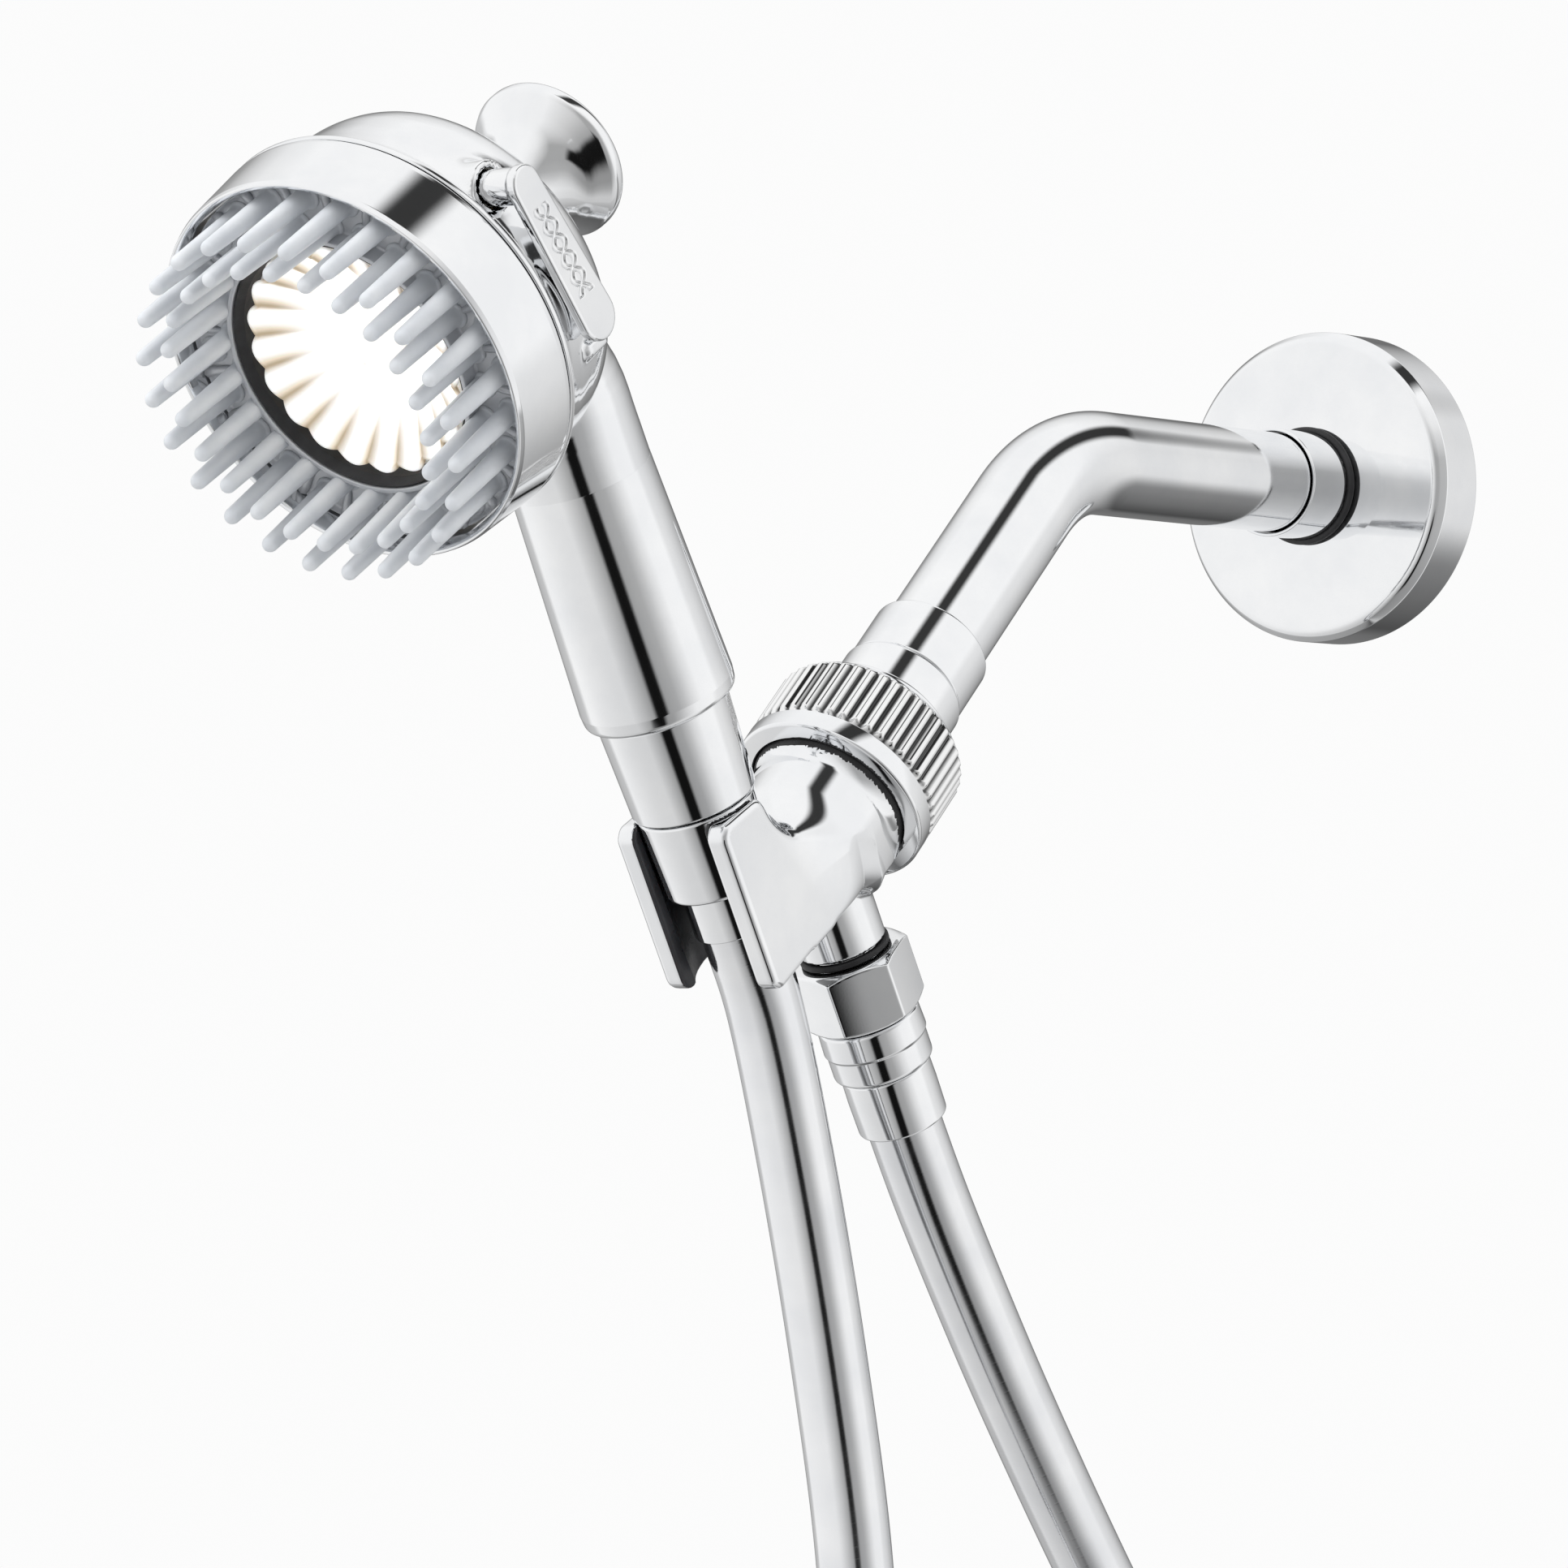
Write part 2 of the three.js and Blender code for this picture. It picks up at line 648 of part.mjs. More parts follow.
function buildHandle() {
  const ferrule = washer(HOSE.radius + GAP, 8.5, CONE.to + GAP, 6);
  const tail = { flange: 8.9, from: -11, to: -7.6, stemTo: 0.7 };
  const gasket = washer(4.5, 9, COLLAR.threadTo + GAP, tail.from - GAP, FEW_SIDES);
  const valve = washer(2.5, COLLAR.bore - GAP, -36, -27, FEW_SIDES);
  const tube = washer(4.2, 5.6, GRIP.from + 2, GRIP.to - 13, FEW_SIDES);
  add(handleAxis, "hand_ferrule", "chrome", solid(ferrule));
  add(handleAxis, "hand_tail", "brass", hoseTail(tail));
  add(handleAxis, "cone_nut", "chrome", coneNut());
  add(handleAxis, "cone_gasket", "black", solid(gasket));
  add(handleAxis, "handle_collar", "chrome", handleCollar());
  add(handleAxis, "check_valve", "white", solid(valve));
  add(handleAxis, "grip", "chrome", gripShell());
  add(handleAxis, "water_tube", "white", solid(tube));
}

// ---------------------------------------------------------------- head: shells

function headBand() {
  const { radius, backRadius, band } = HEAD;
  const inner = MAT.outer + 0.4;
  return solid(
    turned(
      [
        [inner, band],
        [inner, 1],
        [inner + 0.5, 0.2],
        [radius - 0.5, 0],
        [radius, 0.7],
        [backRadius, band],
      ],
      MANY_SIDES,
    ),
  );
}

function trimRing() {
  const from = HEAD.band + GAP;
  const to = HOUSING.front - GAP;
  const outer = HEAD.backRadius;
  return solid(
    turned([[33.5, from], [outer - 0.3, from], [outer, from + 0.8], [outer - 1, to], [33.5, to]], MANY_SIDES),
  );
}

// The dome behind the spray face, as [radius, behind], from its front rim to the middle of its back.
function domeProfile(inset) {
  const side = [[36.5, 19], [36, 22], [35.5, 27], [34.8, 32]];
  const shoulder = [[33.1, 36.3], [29.5, 40.1], [23, 43.3], [14, 45.2]];
  const outer = [...side, ...shoulder].map(([radius, behind]) => [radius - inset, behind - inset / 2]);
  return [[HOUSING.rim - inset, HOUSING.front], ...outer, [0, HOUSING.back - inset]];
}

// A place on the handle's axis, as [above, behind] in the head's frame.
function onHandle(along) {
  const point = new THREE.Vector3(0, along, 0).applyMatrix4(handleAxis.matrixWorld);
  point.applyMatrix4(headAxis.matrixWorld.clone().invert());
  return [point.z, point.y];
}

// The neck that runs from the top of the grip up and forward into the dome, as [above, behind, radius].
const NECK = [
  [...onHandle(GRIP.from - GAP), GRIP.upper],
  [...onHandle(GRIP.from - 9), GRIP.upper],
  [...onHandle(GRIP.from - 18), 13.4],
  [-21.5, 46, 12.7],
  [-14, 40, 12],
  [-6, 31, 11.5],
];

function headHousing() {
  const wall = HOUSING.wall;
  const dome = turned([[0, HOUSING.front], ...domeProfile(0)], MANY_SIDES);
  const mouth = HOUSING.front - 1;
  const inside = turned([[0, mouth], [HOUSING.rim - wall - 1, mouth], ...domeProfile(wall + 1)]);
  const neckInside = NECK.map(([above, behind, radius]) => [above, behind, radius - wall]);
  neckInside.unshift([...onHandle(GRIP.from + 3), GRIP.upper - wall]);
  const onKnob = (geometry) => solid(geometry.translate(0, 0, KNOB.above));
  const onLever = (geometry) => solid(alongX(geometry).translate(0, LEVER.behind, LEVER.above));
  const stop = new THREE.BoxGeometry(8, 6, 2.8).translate(31, 27.5, -11.8);
  return cut(
    union(
      cut(union(solid(dome), solid(lofted(NECK))), solid(inside), solid(lofted(neckInside))),
      onKnob(rod(8.4, 42.6, 50.2, FEW_SIDES)),
      onLever(rod(5.2, 20, 29.6, FEW_SIDES)),
      solid(stop),
    ),
    onKnob(rod(KNOB.stem + 0.4, 38, 52, FEW_SIDES)),
    onKnob(rod(6, 47, 52, FEW_SIDES)),
    onLever(rod(3.8, 25, 36, FEW_SIDES)),
    onLever(rod(2.6, 18, 26, FEW_SIDES)),
  );
}

// ---------------------------------------------------------------- head: spray face

// Every nozzle's place on the face: its ring radius and its angle, with the rings staggered.
function nozzlePlaces() {
  const step = (2 * Math.PI) / NOZZLE.perRing;
  return NOZZLE.rings.flatMap((radius, ring) =>
    Array.from({ length: NOZZLE.perRing }, (_, i) => ({ radius, angle: (i + ring / 2) * step })),
  );
}

const placedNozzle = (geometry, { radius, angle }) =>
  solid(geometry.translate(radius, 0, 0).rotateY(angle));

function nozzleMat() {
  const { inner, outer, front, back, lip, lipFront } = MAT;
  const { length, base, tip } = NOZZLE;
  const root = front + 0.5;
  const end = front - length;
  const nozzle = () => turned([[0, root], [base, root], [tip, end + 0.6], [0, end]], 6);
  return union(
    solid(washer(inner, outer, front, back)),
    solid(washer(inner, inner + lip, lipFront, back)),
    ...nozzlePlaces().map((place) => placedNozzle(nozzle(), place)),
  );
}

// A disc with a ring of round holes through it.
function drilledDisc({ inner, outer, from, to, holes, holeRing, holeRadius }) {
  const drills = Array.from({ length: holes }, (_, i) =>
    solid(rod(holeRadius, from - 1, to + 1, 8).translate(holeRing, 0, 0).rotateY((2 * Math.PI * i) / holes)),
  );
  return cut(solid(washer(inner, outer, from, to)), ...drills);
}

// One skin of the fluted cup: a cone whose radius swings in and out round it.
function flutedCone(inset, from, to) {
  const perFlute = 4;
  const sides = CUP.flutes * perFlute;
  const slope = (CUP.floor - CUP.mouth) / (CUP.back - CUP.front);
  const positions = [];
  const triangles = [];
  [from, to].forEach((along) => {
    for (let k = 0; k < sides; k++) {
      const wave = CUP.flute * Math.abs(Math.sin((Math.PI * k) / perFlute));
      const radius = CUP.mouth + slope * (along - CUP.front) - inset - CUP.flute + wave;
      const angle = (2 * Math.PI * k) / sides;
      positions.push(radius * Math.cos(angle), along, radius * Math.sin(angle));
    }
  });
  for (let k = 0; k < sides; k++) {
    const next = (k + 1) % sides;
    triangles.push(k, next, next + sides, k, next + sides, k + sides);
  }
  for (let k = 1; k + 1 < sides; k++) {
    triangles.push(0, k + 1, k);
    triangles.push(sides, sides + k, sides + k + 1);
  }
  const geometry = new THREE.BufferGeometry();
  geometry.setAttribute("position", new THREE.Float32BufferAttribute(positions, 3));
  return geometry.setIndex(triangles);
}

function flutedCup() {
  const { front, back, wall } = CUP;
  const shell = cut(solid(flutedCone(0, front, back)), solid(flutedCone(wall, front - 1, back - wall)));
  return cut(shell, solid(rod(3, back - 3, back + 1, 12)));
}

// The ring between the mat and the cup, sloped so that it shows from the side.
function centreSeal() {
  const [inner, outer] = [CUP.mouth + GAP, MAT.inner - GAP];
  const { back, lipFront } = MAT;
  return solid(turned([[inner, back], [inner, CUP.front - GAP], [outer, lipFront + 0.2], [outer, back]]));
}

function diffuserCore() {
  const back = CUP.back - CUP.wall - GAP;
  const pin = { radius: 2.6, from: 9.5, edge: 1 };
  const foot = { radius: 6.5, thick: 1.4, rise: 0.6 };
  const profile = [
    [0, pin.from],
    [pin.radius - pin.edge, pin.from],
    [pin.radius, pin.from + pin.edge],
    [pin.radius, back - foot.thick - foot.rise],
    [foot.radius, back - foot.thick],
    [foot.radius, back],
    [0, back],
  ];
  return solid(turned(profile, FEW_SIDES));
}

function retainerScrew(index) {
  const { screws, screwRing, to } = RETAINER;
  const [head, headHeight, shank, length] = [2, 1.6, 1.1, 6.5];
  const under = to + 0.4;
  const profile = [
    [0, under - length],
    [shank, under - length],
    [shank, under],
    [head, under],
    [head, under + headHeight],
    [0, under + headHeight],
  ];
  const screw = turned(profile, 10).translate(screwRing, 0, 0);
  return solid(screw.rotateY((2 * Math.PI * index) / screws));
}

function buildSprayFace() {
  const backing = { ...PLATES, from: 8.7, to: 11.2, holes: 12, holeRing: 30, holeRadius: 2 };
  const disc = { ...PLATES, from: 11.5, to: 13.2, holes: 8, holeRing: 27, holeRadius: 2.4 };
  const { radius, from, to, screws, screwRing } = RETAINER;
  const retainer = { inner: 3, outer: radius, from, to, holes: screws, holeRing: screwRing, holeRadius: 1.5 };
  add(headAxis, "nozzle_mat", "silicone", nozzleMat());
  add(headAxis, "nozzle_plate", "white", drilledDisc(backing));
  add(headAxis, "spray_disc", "white", drilledDisc(disc));
  add(headAxis, "centre_seal", "black", centreSeal());
  add(headAxis, "fluted_cup", "cream", flutedCup());
  add(headAxis, "diffuser_core", "white", diffuserCore());
  add(headAxis, "cup_retainer", "white", drilledDisc(retainer));
  for (let i = 0; i < screws; i++) add(headAxis, "retainer_screw_" + (i + 1), "brass", retainerScrew(i));
}

// ---------------------------------------------------------------- head: lever and knob

function leverArm() {
  const { behind, above, tipBehind, tipAbove, plateAt, thick } = LEVER;
  const [hubRadius, tipRadius] = [3.8, 4.7];
  const run = Math.atan2(tipAbove - above, tipBehind - behind);
  const square = (run * 180) / Math.PI;
  const outline = [
    ...arc(behind, above, hubRadius, square + 90, square + 270, 8),
    ...arc(tipBehind, tipAbove, tipRadius, square - 90, square + 90, 8),
  ].map(([back, up]) => [up, back]);
  const paddle = plate(outline, thick / 2, 0.4).translate(plateAt + thick / 2, 0, 0);
  const hub = alongX(rod(3.4, 25.3, plateAt + 0.6, FEW_SIDES)).translate(0, behind, above);
  return union(solid(paddle), solid(hub));
}

function buildLever() {
  const onLever = (geometry) => solid(alongX(geometry).translate(0, LEVER.behind, LEVER.above));
  add(headAxis, "lever", "chrome", leverArm());
  add(headAxis, "lever_spindle", "brass", onLever(rod(2.2, 10, 25, FEW_SIDES)));
  add(headAxis, "valve_plug", "white", onLever(rod(3.8, -6, 9.7, FEW_SIDES)));
}

function knobBody() {
  const { radius, from, to, stem } = KNOB;
  const socket = stem + GAP;
  return solid(
    turned([
      [0, to],
      [12, to - 0.5],
      [radius - 0.5, to - 1.6],
      [radius, to - 3],
      [radius - 0.8, to - 4.4],
      [radius - 2.8, to - 6.2],
      [radius - 5.4, to - 8.6],
      [8, to - 12],
      [6.4, to - 15.5],
      [5.6, to - 18.5],
      [5.6, from],
      [socket, from],
      [socket, from + 6],
      [0, from + 6],
    ]),
  );
}

function buildKnob() {
  const onKnob = (geometry) => solid(geometry.translate(0, 0, KNOB.above));
  const knob = geometryOf(knobBody()).translate(0, 0, KNOB.above);
  add(headAxis, "knob", "chrome", solid(knob));
  add(headAxis, "knob_stem", "brass", onKnob(rod(KNOB.stem, 30, KNOB.from + 5.6, FEW_SIDES)));
  add(headAxis, "knob_seal", "black", onKnob(washer(KNOB.stem + GAP, 5.7, 47.3, 49.4, FEW_SIDES)));
  add(headAxis, "knob_gland", "chrome", onKnob(washer(KNOB.stem + 0.4, 8.2, 50.5, 53.2, FEW_SIDES)));
}

function buildHeadShells() {
  add(headAxis, "head_band", "chrome", headBand());
  add(headAxis, "trim_ring", "chrome", trimRing());
  add(headAxis, "head_housing", "chrome", headHousing());
}

buildArm();
buildSwivel();
buildHolder();
buildHose();
buildHandle();
buildHeadShells();
buildSprayFace();
buildLever();
buildKnob();

export default shower;
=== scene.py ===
"""Looks of a chromed handheld shower set: hand shower, swivel holder, shower arm, flange and hose.

Lengths are in millimetres inside this script and in metres in Blender. Most pieces are made about one of
four straight axes that lie in the plane X = 0, as in the CAD model whose frame they share.
"""

import json
import math

import bpy
import numpy as np
from mathutils import Matrix, Vector


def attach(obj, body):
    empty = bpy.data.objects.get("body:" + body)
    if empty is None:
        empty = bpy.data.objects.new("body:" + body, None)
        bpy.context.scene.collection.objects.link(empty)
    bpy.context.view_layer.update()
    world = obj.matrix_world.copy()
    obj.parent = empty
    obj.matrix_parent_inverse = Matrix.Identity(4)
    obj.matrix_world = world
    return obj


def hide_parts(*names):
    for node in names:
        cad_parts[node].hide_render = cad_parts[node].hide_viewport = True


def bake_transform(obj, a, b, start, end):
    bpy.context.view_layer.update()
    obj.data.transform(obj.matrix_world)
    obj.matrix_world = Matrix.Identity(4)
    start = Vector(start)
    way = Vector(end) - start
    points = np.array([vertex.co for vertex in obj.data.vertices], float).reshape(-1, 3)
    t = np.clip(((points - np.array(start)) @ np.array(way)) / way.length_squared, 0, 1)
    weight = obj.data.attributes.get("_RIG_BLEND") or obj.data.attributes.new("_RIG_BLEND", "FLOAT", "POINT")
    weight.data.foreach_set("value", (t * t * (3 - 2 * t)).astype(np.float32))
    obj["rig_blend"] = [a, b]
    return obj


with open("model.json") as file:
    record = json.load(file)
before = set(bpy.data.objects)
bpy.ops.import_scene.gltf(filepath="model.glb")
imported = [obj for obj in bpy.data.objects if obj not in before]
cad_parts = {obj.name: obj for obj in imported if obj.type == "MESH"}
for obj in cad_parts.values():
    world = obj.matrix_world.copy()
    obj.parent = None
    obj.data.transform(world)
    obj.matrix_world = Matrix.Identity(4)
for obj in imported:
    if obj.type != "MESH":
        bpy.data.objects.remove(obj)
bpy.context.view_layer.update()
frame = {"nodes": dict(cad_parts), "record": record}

# ---------------------------------------------------------------- driving dimensions

MM = 0.001
SIDES = 144  # round outer pieces
SMALL_SIDES = 64  # round pieces that are small or inside
FILLET = 0.5

PIPE = dict(radius=10.65, bore=8.4, into_wall=16, to_bend=107.6, bend_radius=38, slope_end=80)
THREAD = dict(pitch=1.8, height=0.55, ridges=5, run_in=1)
SLOPE_DEG = 43.5
TRIM_BORE = 10.95  # of the sleeve, the coupler and the adapter, which slide onto the pipe
FLANGE = dict(radius=33.4, depth=15, wall=1.8, opening=11.1)
FLANGE_RING = dict(middle=11.85, at=16.2, thick=0.85)
SLEEVE = dict(radius=11.6, start=17.4, end=29.5)
COUPLER = dict(radius=12.3, start=58, end=70.8)
ADAPTER = dict(radius=12.8, start=71.2, step=15.6, step_at=80.8, cap=17.3, cap_at=84.2, end=88.5)
ADAPTER |= dict(seat=86.4, bore=7.5)
BALL = dict(radius=17.4, at=97, cut_at=89.5, bore=6, bare_to=104.8)
# The neck between ball and plates. Its lower side stays above a line that is square to the handle and,
# past the plates, bends down.
NECK_BAR = dict(radius=14.8, end=137, lowest=12.8, drops_past=24, drop=0.6)
NUT = dict(radius=20.1, start=83.9, ribs_to=99.2, end=103.9, lip=16.3, ribs=44, rib_depth=1.2)

HANDLE = dict(y=-213.8, z=-90, lean_deg=29.5)
CRADLE = dict(half_width=13.3, slot=8.8, bore_top=11.9, bore_bottom=11.2, top=-19.5, bottom=15.8)
# How the casting's edges turn from crisp to fully round: over a span that starts this far behind the slot,
# on a slant, and less in the low part.
ROUNDING = dict(least=1.4, slant=0.35, start=7, span=20, low_from=2, low_span=10, low_loss=0.5)
# The dimple beside each plate: its middle in the handle's frame, its lean, and an ellipsoid's proportions.
FOLD = dict(away=6.4, down=-12.8, lean_deg=30, outside=0.6, radius=2, stretch=0.44, squeeze=1.2)
OUTLET = dict(behind=26.6, radius=8.7, thread=7.4, bore=4.8, shoulder_at=25.5, end_at=33, ridge=0.3)
WASHER = dict(inner=7.7, outer=9.1, start=25.8, end=27)
HEX = dict(corner=12.7, turn_deg=15, start=27.3, end=40.8, thread=7.75, lip_at=36.5, lip=6.9, crown=130)
UPPER_FERRULE = dict(bore=6.9, mouth=10.3, step=10.5, radius=10.1, start=41.2, step_at=46.5, end=52.4)
LOWER_FERRULE = dict(bore=7.8, mouth=9.0, radius=9.1, start=52.8, middle=58, end=65)
HAND_FERRULE = dict(bore=7.8, radius=8.5, start=-3.1, end=6)
CONE = dict(top=11.6, bottom=11, start=-20.3, end=-3.4)
COLLAR = dict(bore=6, seat=9.2, seat_at=-13, spigot=11.4, spigot_length=12, top=12.9, bottom=12.2)
GRIP = dict(lower=15.1, upper=13.6, start=-88, end=-41, bore=11.7)

HEAD = dict(y=-323.7, z=0.9, tilt_deg=33.9, radius=38, back_radius=39.1, band=14.7)
MAT = dict(inner=24.9, outer=36, front=5.6, back=8.4, lip=0.9, lip_front=2.2)
NOZZLE = dict(per_ring=24, rings=(27.2, 32.6), length=20, base=1.95, tip=1.5, splay_deg=1.5)
CUP = dict(mouth=23.1, floor=12, front=4.5, back=16, wall=1.2, flutes=20, flute=1.5)
CUP |= dict(groove_shade_to=6, white_from=11.5)  # depths between which the painted shade in the grooves fades
SEAL = dict(inner=23.4, outer=24.6, front=2.4, shoulder=4.3, back=8.4)
CORE_PIN = dict(tip=1.9, radius=2.6, base=6.5, front=9.5)
TRIM_RING = dict(inner=33.5, start=15, end=17.3)
HOUSING = dict(front=17.6, rim=37.2, back=46, wall=2.3)
BOSS = dict(radius=8.4, start=40, end=50.2, bore=6)
HUB = dict(radius=5.2, start=20, end=29.6, bore=3.8, spindle=3.4)
LUG = dict(aside=31, behind=27.5, above=-11.8, half=(4, 3, 1.4), corner=0.9)
KNOB = dict(above=4.6, radius=15.6, start=54, end=74.2, stem=3.2)
LEVER = dict(behind=22.9, above=22.3, tip_behind=27.3, tip_above=-6, plate_at=36, thick=2)
LEVER |= dict(hub_end=3.8, tip_end=4.7)
# The braid in the lever's face: two crossing waves along it, cut with a round tool.
BRAID = dict(swing=1.5, pitch=7.2, centre=14, half_length=9.4, radius=0.4, flatten=0.65)

HOSE = dict(radius=7.5, sides=40, length=1.5)
COIL = dict(radius=85, y=-110, z=-430, strand=7.7, turn_deg=540, cross_deg=180)
STRAP = dict(wide=11, thick=1.1, slack=0.5, lap_from=-9, lap_to=8, lap_rows=18, lap_round=3)

# The hose's route outside its coil, [x, y, z], listed: from the lower ferrule down the wall side,
# and from the handset's ferrule down the front side.
WALL_LEG = [
    (0, -161.6, -128.3),
    (0, -156.6, -137.1),
    (0, -148.5, -150.5),
    (0, -128, -181),
    (0, -110.5, -205),
    (0, -94, -226.5),
    (1, -74, -253),
    (2.5, -55, -283),
    (4.5, -39.5, -315),
    (6.5, -29, -347),
    (7.7, -25, -377),
]
HAND_LEG = [
    (0, -213.3, -90.9),
    (0, -208.9, -98.7),
    (0, -203, -110),
    (0, -193, -140),
    (0, -182, -181),
    (0, -174, -220),
    (-1, -170.5, -256),
    (-2.5, -172, -290),
    (-4.5, -179, -322),
    (-6.5, -189, -352),
    (-7.7, -195, -377),
]

# ---------------------------------------------------------------- camera

CAMERA_AT = (0.75373, -1.15476, -0.10504)
CAMERA_AZIMUTH_DEG = 38.19
CAMERA_RISE_DEG = -1.72
CAMERA_ROLL_DEG = 0.08
LENS_MM = 145.8
SENSOR_MM = 36


def camera_axes():
    """Right, up and back of the camera in the row frame."""
    azimuth = math.radians(CAMERA_AZIMUTH_DEG)
    rise = math.radians(CAMERA_RISE_DEG)
    back = Vector((math.sin(azimuth) * math.cos(rise), -math.cos(azimuth) * math.cos(rise), math.sin(rise)))
    right = Vector((math.cos(azimuth), math.sin(azimuth), 0))
    return right, back.cross(right), back


def make_camera():
    right, up, back = camera_axes()
    data = bpy.data.cameras.new("camera")
    data.lens = LENS_MM
    data.sensor_width = SENSOR_MM
    data.sensor_fit = "HORIZONTAL"
    camera = bpy.data.objects.new("camera", data)
    turn = Matrix((right, up, back)).transposed().to_4x4()
    roll = Matrix.Rotation(math.radians(CAMERA_ROLL_DEG), 4, "Z")
    camera.matrix_world = Matrix.Translation(CAMERA_AT) @ turn @ roll
    bpy.context.scene.collection.objects.link(camera)
    bpy.context.scene.camera = camera


# ---------------------------------------------------------------- axes


class Axis:
    """A straight axis in the plane X = 0: local Y runs along it and local Z stays in that plane."""

    def __init__(self, y, z, tilt_deg):
        tilt = math.radians(tilt_deg)
        self.origin = np.array([0, y, z], float)
        along = [0, math.cos(tilt), math.sin(tilt)]
        beside = [0, -math.sin(tilt), math.cos(tilt)]
        self.rows = np.array([[1, 0, 0], along, beside], float)

    def shifted(self, beside):
        moved = Axis(0, 0, 0)
        moved.origin = self.origin + beside * self.rows[2]
        moved.rows = self.rows
        return moved

    def place(self, points):
        return self.origin + np.asarray(points, float) @ self.rows

    def turn(self, directions):
        return np.asarray(directions, float) @ self.rows

    def local(self, points):
        return (np.asarray(points, float) - self.origin) @ self.rows.T


WORLD_AXIS = Axis(0, 0, 0)
WALL_AXIS = Axis(0, 0, 180)
SLOPE_AXIS = Axis(-PIPE["to_bend"], 0, 180 + SLOPE_DEG)
HANDLE_AXIS = Axis(HANDLE["y"], HANDLE["z"], HANDLE["lean_deg"] - 90)
OUTLET_AXIS = HANDLE_AXIS.shifted(OUTLET["behind"])
HEAD_AXIS = Axis(HEAD["y"], HEAD["z"], HEAD["tilt_deg"])
KNOB_AXIS = HEAD_AXIS.shifted(KNOB["above"])

# ---------------------------------------------------------------- mesh helpers


def new_object(name, points, faces, normals=None, uvs=None):
    """A smooth-shaded mesh object from row-frame points in millimetres."""
    mesh = bpy.data.meshes.new(name)
    mesh.from_pydata((np.asarray(points) * MM).tolist(), [], faces)
    if uvs is not None:
        layer = mesh.uv_layers.new(name="UVMap")
        layer.data.foreach_set("uv", np.asarray(uvs, np.float32).ravel())
    mesh.update()
    mesh.shade_smooth()
    if normals is not None:
        mesh.normals_split_custom_set_from_vertices(np.asarray(normals).tolist())
    piece = bpy.data.objects.new(name, mesh)
    bpy.context.scene.collection.objects.link(piece)
    return piece


def soften(piece):
    """Weights the normals by face area, so that a small round beside a broad face shades cleanly."""
    modifier = piece.modifiers.new("normals", "WEIGHTED_NORMAL")
    modifier.keep_sharp = True
    return piece


def ring_faces(rings, sides, first=0, closed=False):
    """Quads between rings of points, with each end filled unless the last ring meets the first."""
    faces = []
    for i in range(rings if closed else rings - 1):
        low = first + i * sides
        high = first + ((i + 1) % rings) * sides
        for k in range(sides):
            after = (k + 1) % sides
            faces.append((low + k, high + k, high + after, low + after))
    if not closed:
        last = first + (rings - 1) * sides
        faces.append(tuple(range(first, first + sides)))
        faces.append(tuple(reversed(range(last, last + sides))))
    return faces


def ring_uvs(rings, sides, along, closed=False):
    """One UV per face corner of ring_faces: round the ring, and metres along it."""
    uvs = []
    for i in range(rings if closed else rings - 1):
        low = along[i]
        high = along[(i + 1) % rings]
        for k in range(sides):
            near = k / sides
            far = (k + 1) / sides
            uvs += [(near, low), (near, high), (far, high), (far, low)]
    if not closed:
        uvs += [(0, along[0])] * sides
        uvs += [(0, along[-1])] * sides
    return uvs


def rounded(profile, radius=FILLET, steps=4, closed=True):
    """A profile with each corner replaced by a small round; a point's third value is its own radius."""
    corners = [np.array(point[:2], float) for point in profile]
    radii = [point[2] if len(point) > 2 else radius for point in profile]
    count = len(corners)
    out = []
    for i, corner in enumerate(corners):
        if not closed and i in (0, count - 1):
            out.append(tuple(corner))
            continue
        to_last = corners[i - 1] - corner
        to_next = corners[(i + 1) % count] - corner
        reach_last = np.linalg.norm(to_last)
        reach_next = np.linalg.norm(to_next)
        to_last /= reach_last
        to_next /= reach_next
        half = math.acos(float(np.clip(to_last @ to_next, -1, 1))) / 2
        if radii[i] <= 0 or half > math.radians(88):
            out.append(tuple(corner))
            continue
        reach = min(radii[i] / math.tan(half), 0.45 * reach_last, 0.45 * reach_next)
        start = corner + reach * to_last
        end = corner + reach * to_next
        for k in range(steps + 1):
            share = k / steps
            flat = (1 - share) ** 2 * start + 2 * share * (1 - share) * corner + share**2 * end
            out.append(tuple(flat))
    return out


def arc(centre_radius, centre_along, radius, from_deg, to_deg, steps=10):
    """Points of an arc as (radius, along); 0 degrees points away from the axis."""
    angles = np.radians(np.linspace(from_deg, to_deg, steps + 1))
    return [(centre_radius + radius * math.cos(a), centre_along + radius * math.sin(a)) for a in angles]


def turned_mesh(profile, sides=SIDES, wave=None):
    """Rings of a profile of (radius, along[, weight]) points revolved about local Y.

    wave(angles) is taken off the radius, times the point's weight.
    """
    angles = np.linspace(0, 2 * math.pi, sides, endpoint=False)
    ripple = wave(angles) if wave else np.zeros(sides)
    rings = []
    for point in profile:
        weight = point[2] if len(point) > 2 else 0
        radius = max(point[0], 0.02) - weight * ripple
        along = np.full(sides, point[1])
        rings.append(np.stack([radius * np.cos(angles), along, radius * np.sin(angles)], 1))
    return np.array(rings)


def skinned(name, rings, closed, axis=WORLD_AXIS):
    """A piece whose surface joins rings of local points one after the other."""
    count, sides = rings.shape[:2]
    middles = rings.mean(1)
    steps = np.linalg.norm(np.diff(middles, axis=0), axis=1)
    along = np.concatenate([[0], np.cumsum(steps)]) * MM
    points = axis.place(rings.reshape(-1, 3))
    faces = ring_faces(count, sides, closed=closed)
    if volume_of(points, faces) < 0:
        points = axis.place(rings[:, ::-1].reshape(-1, 3))
    return new_object(name, points, faces, uvs=ring_uvs(count, sides, along, closed))


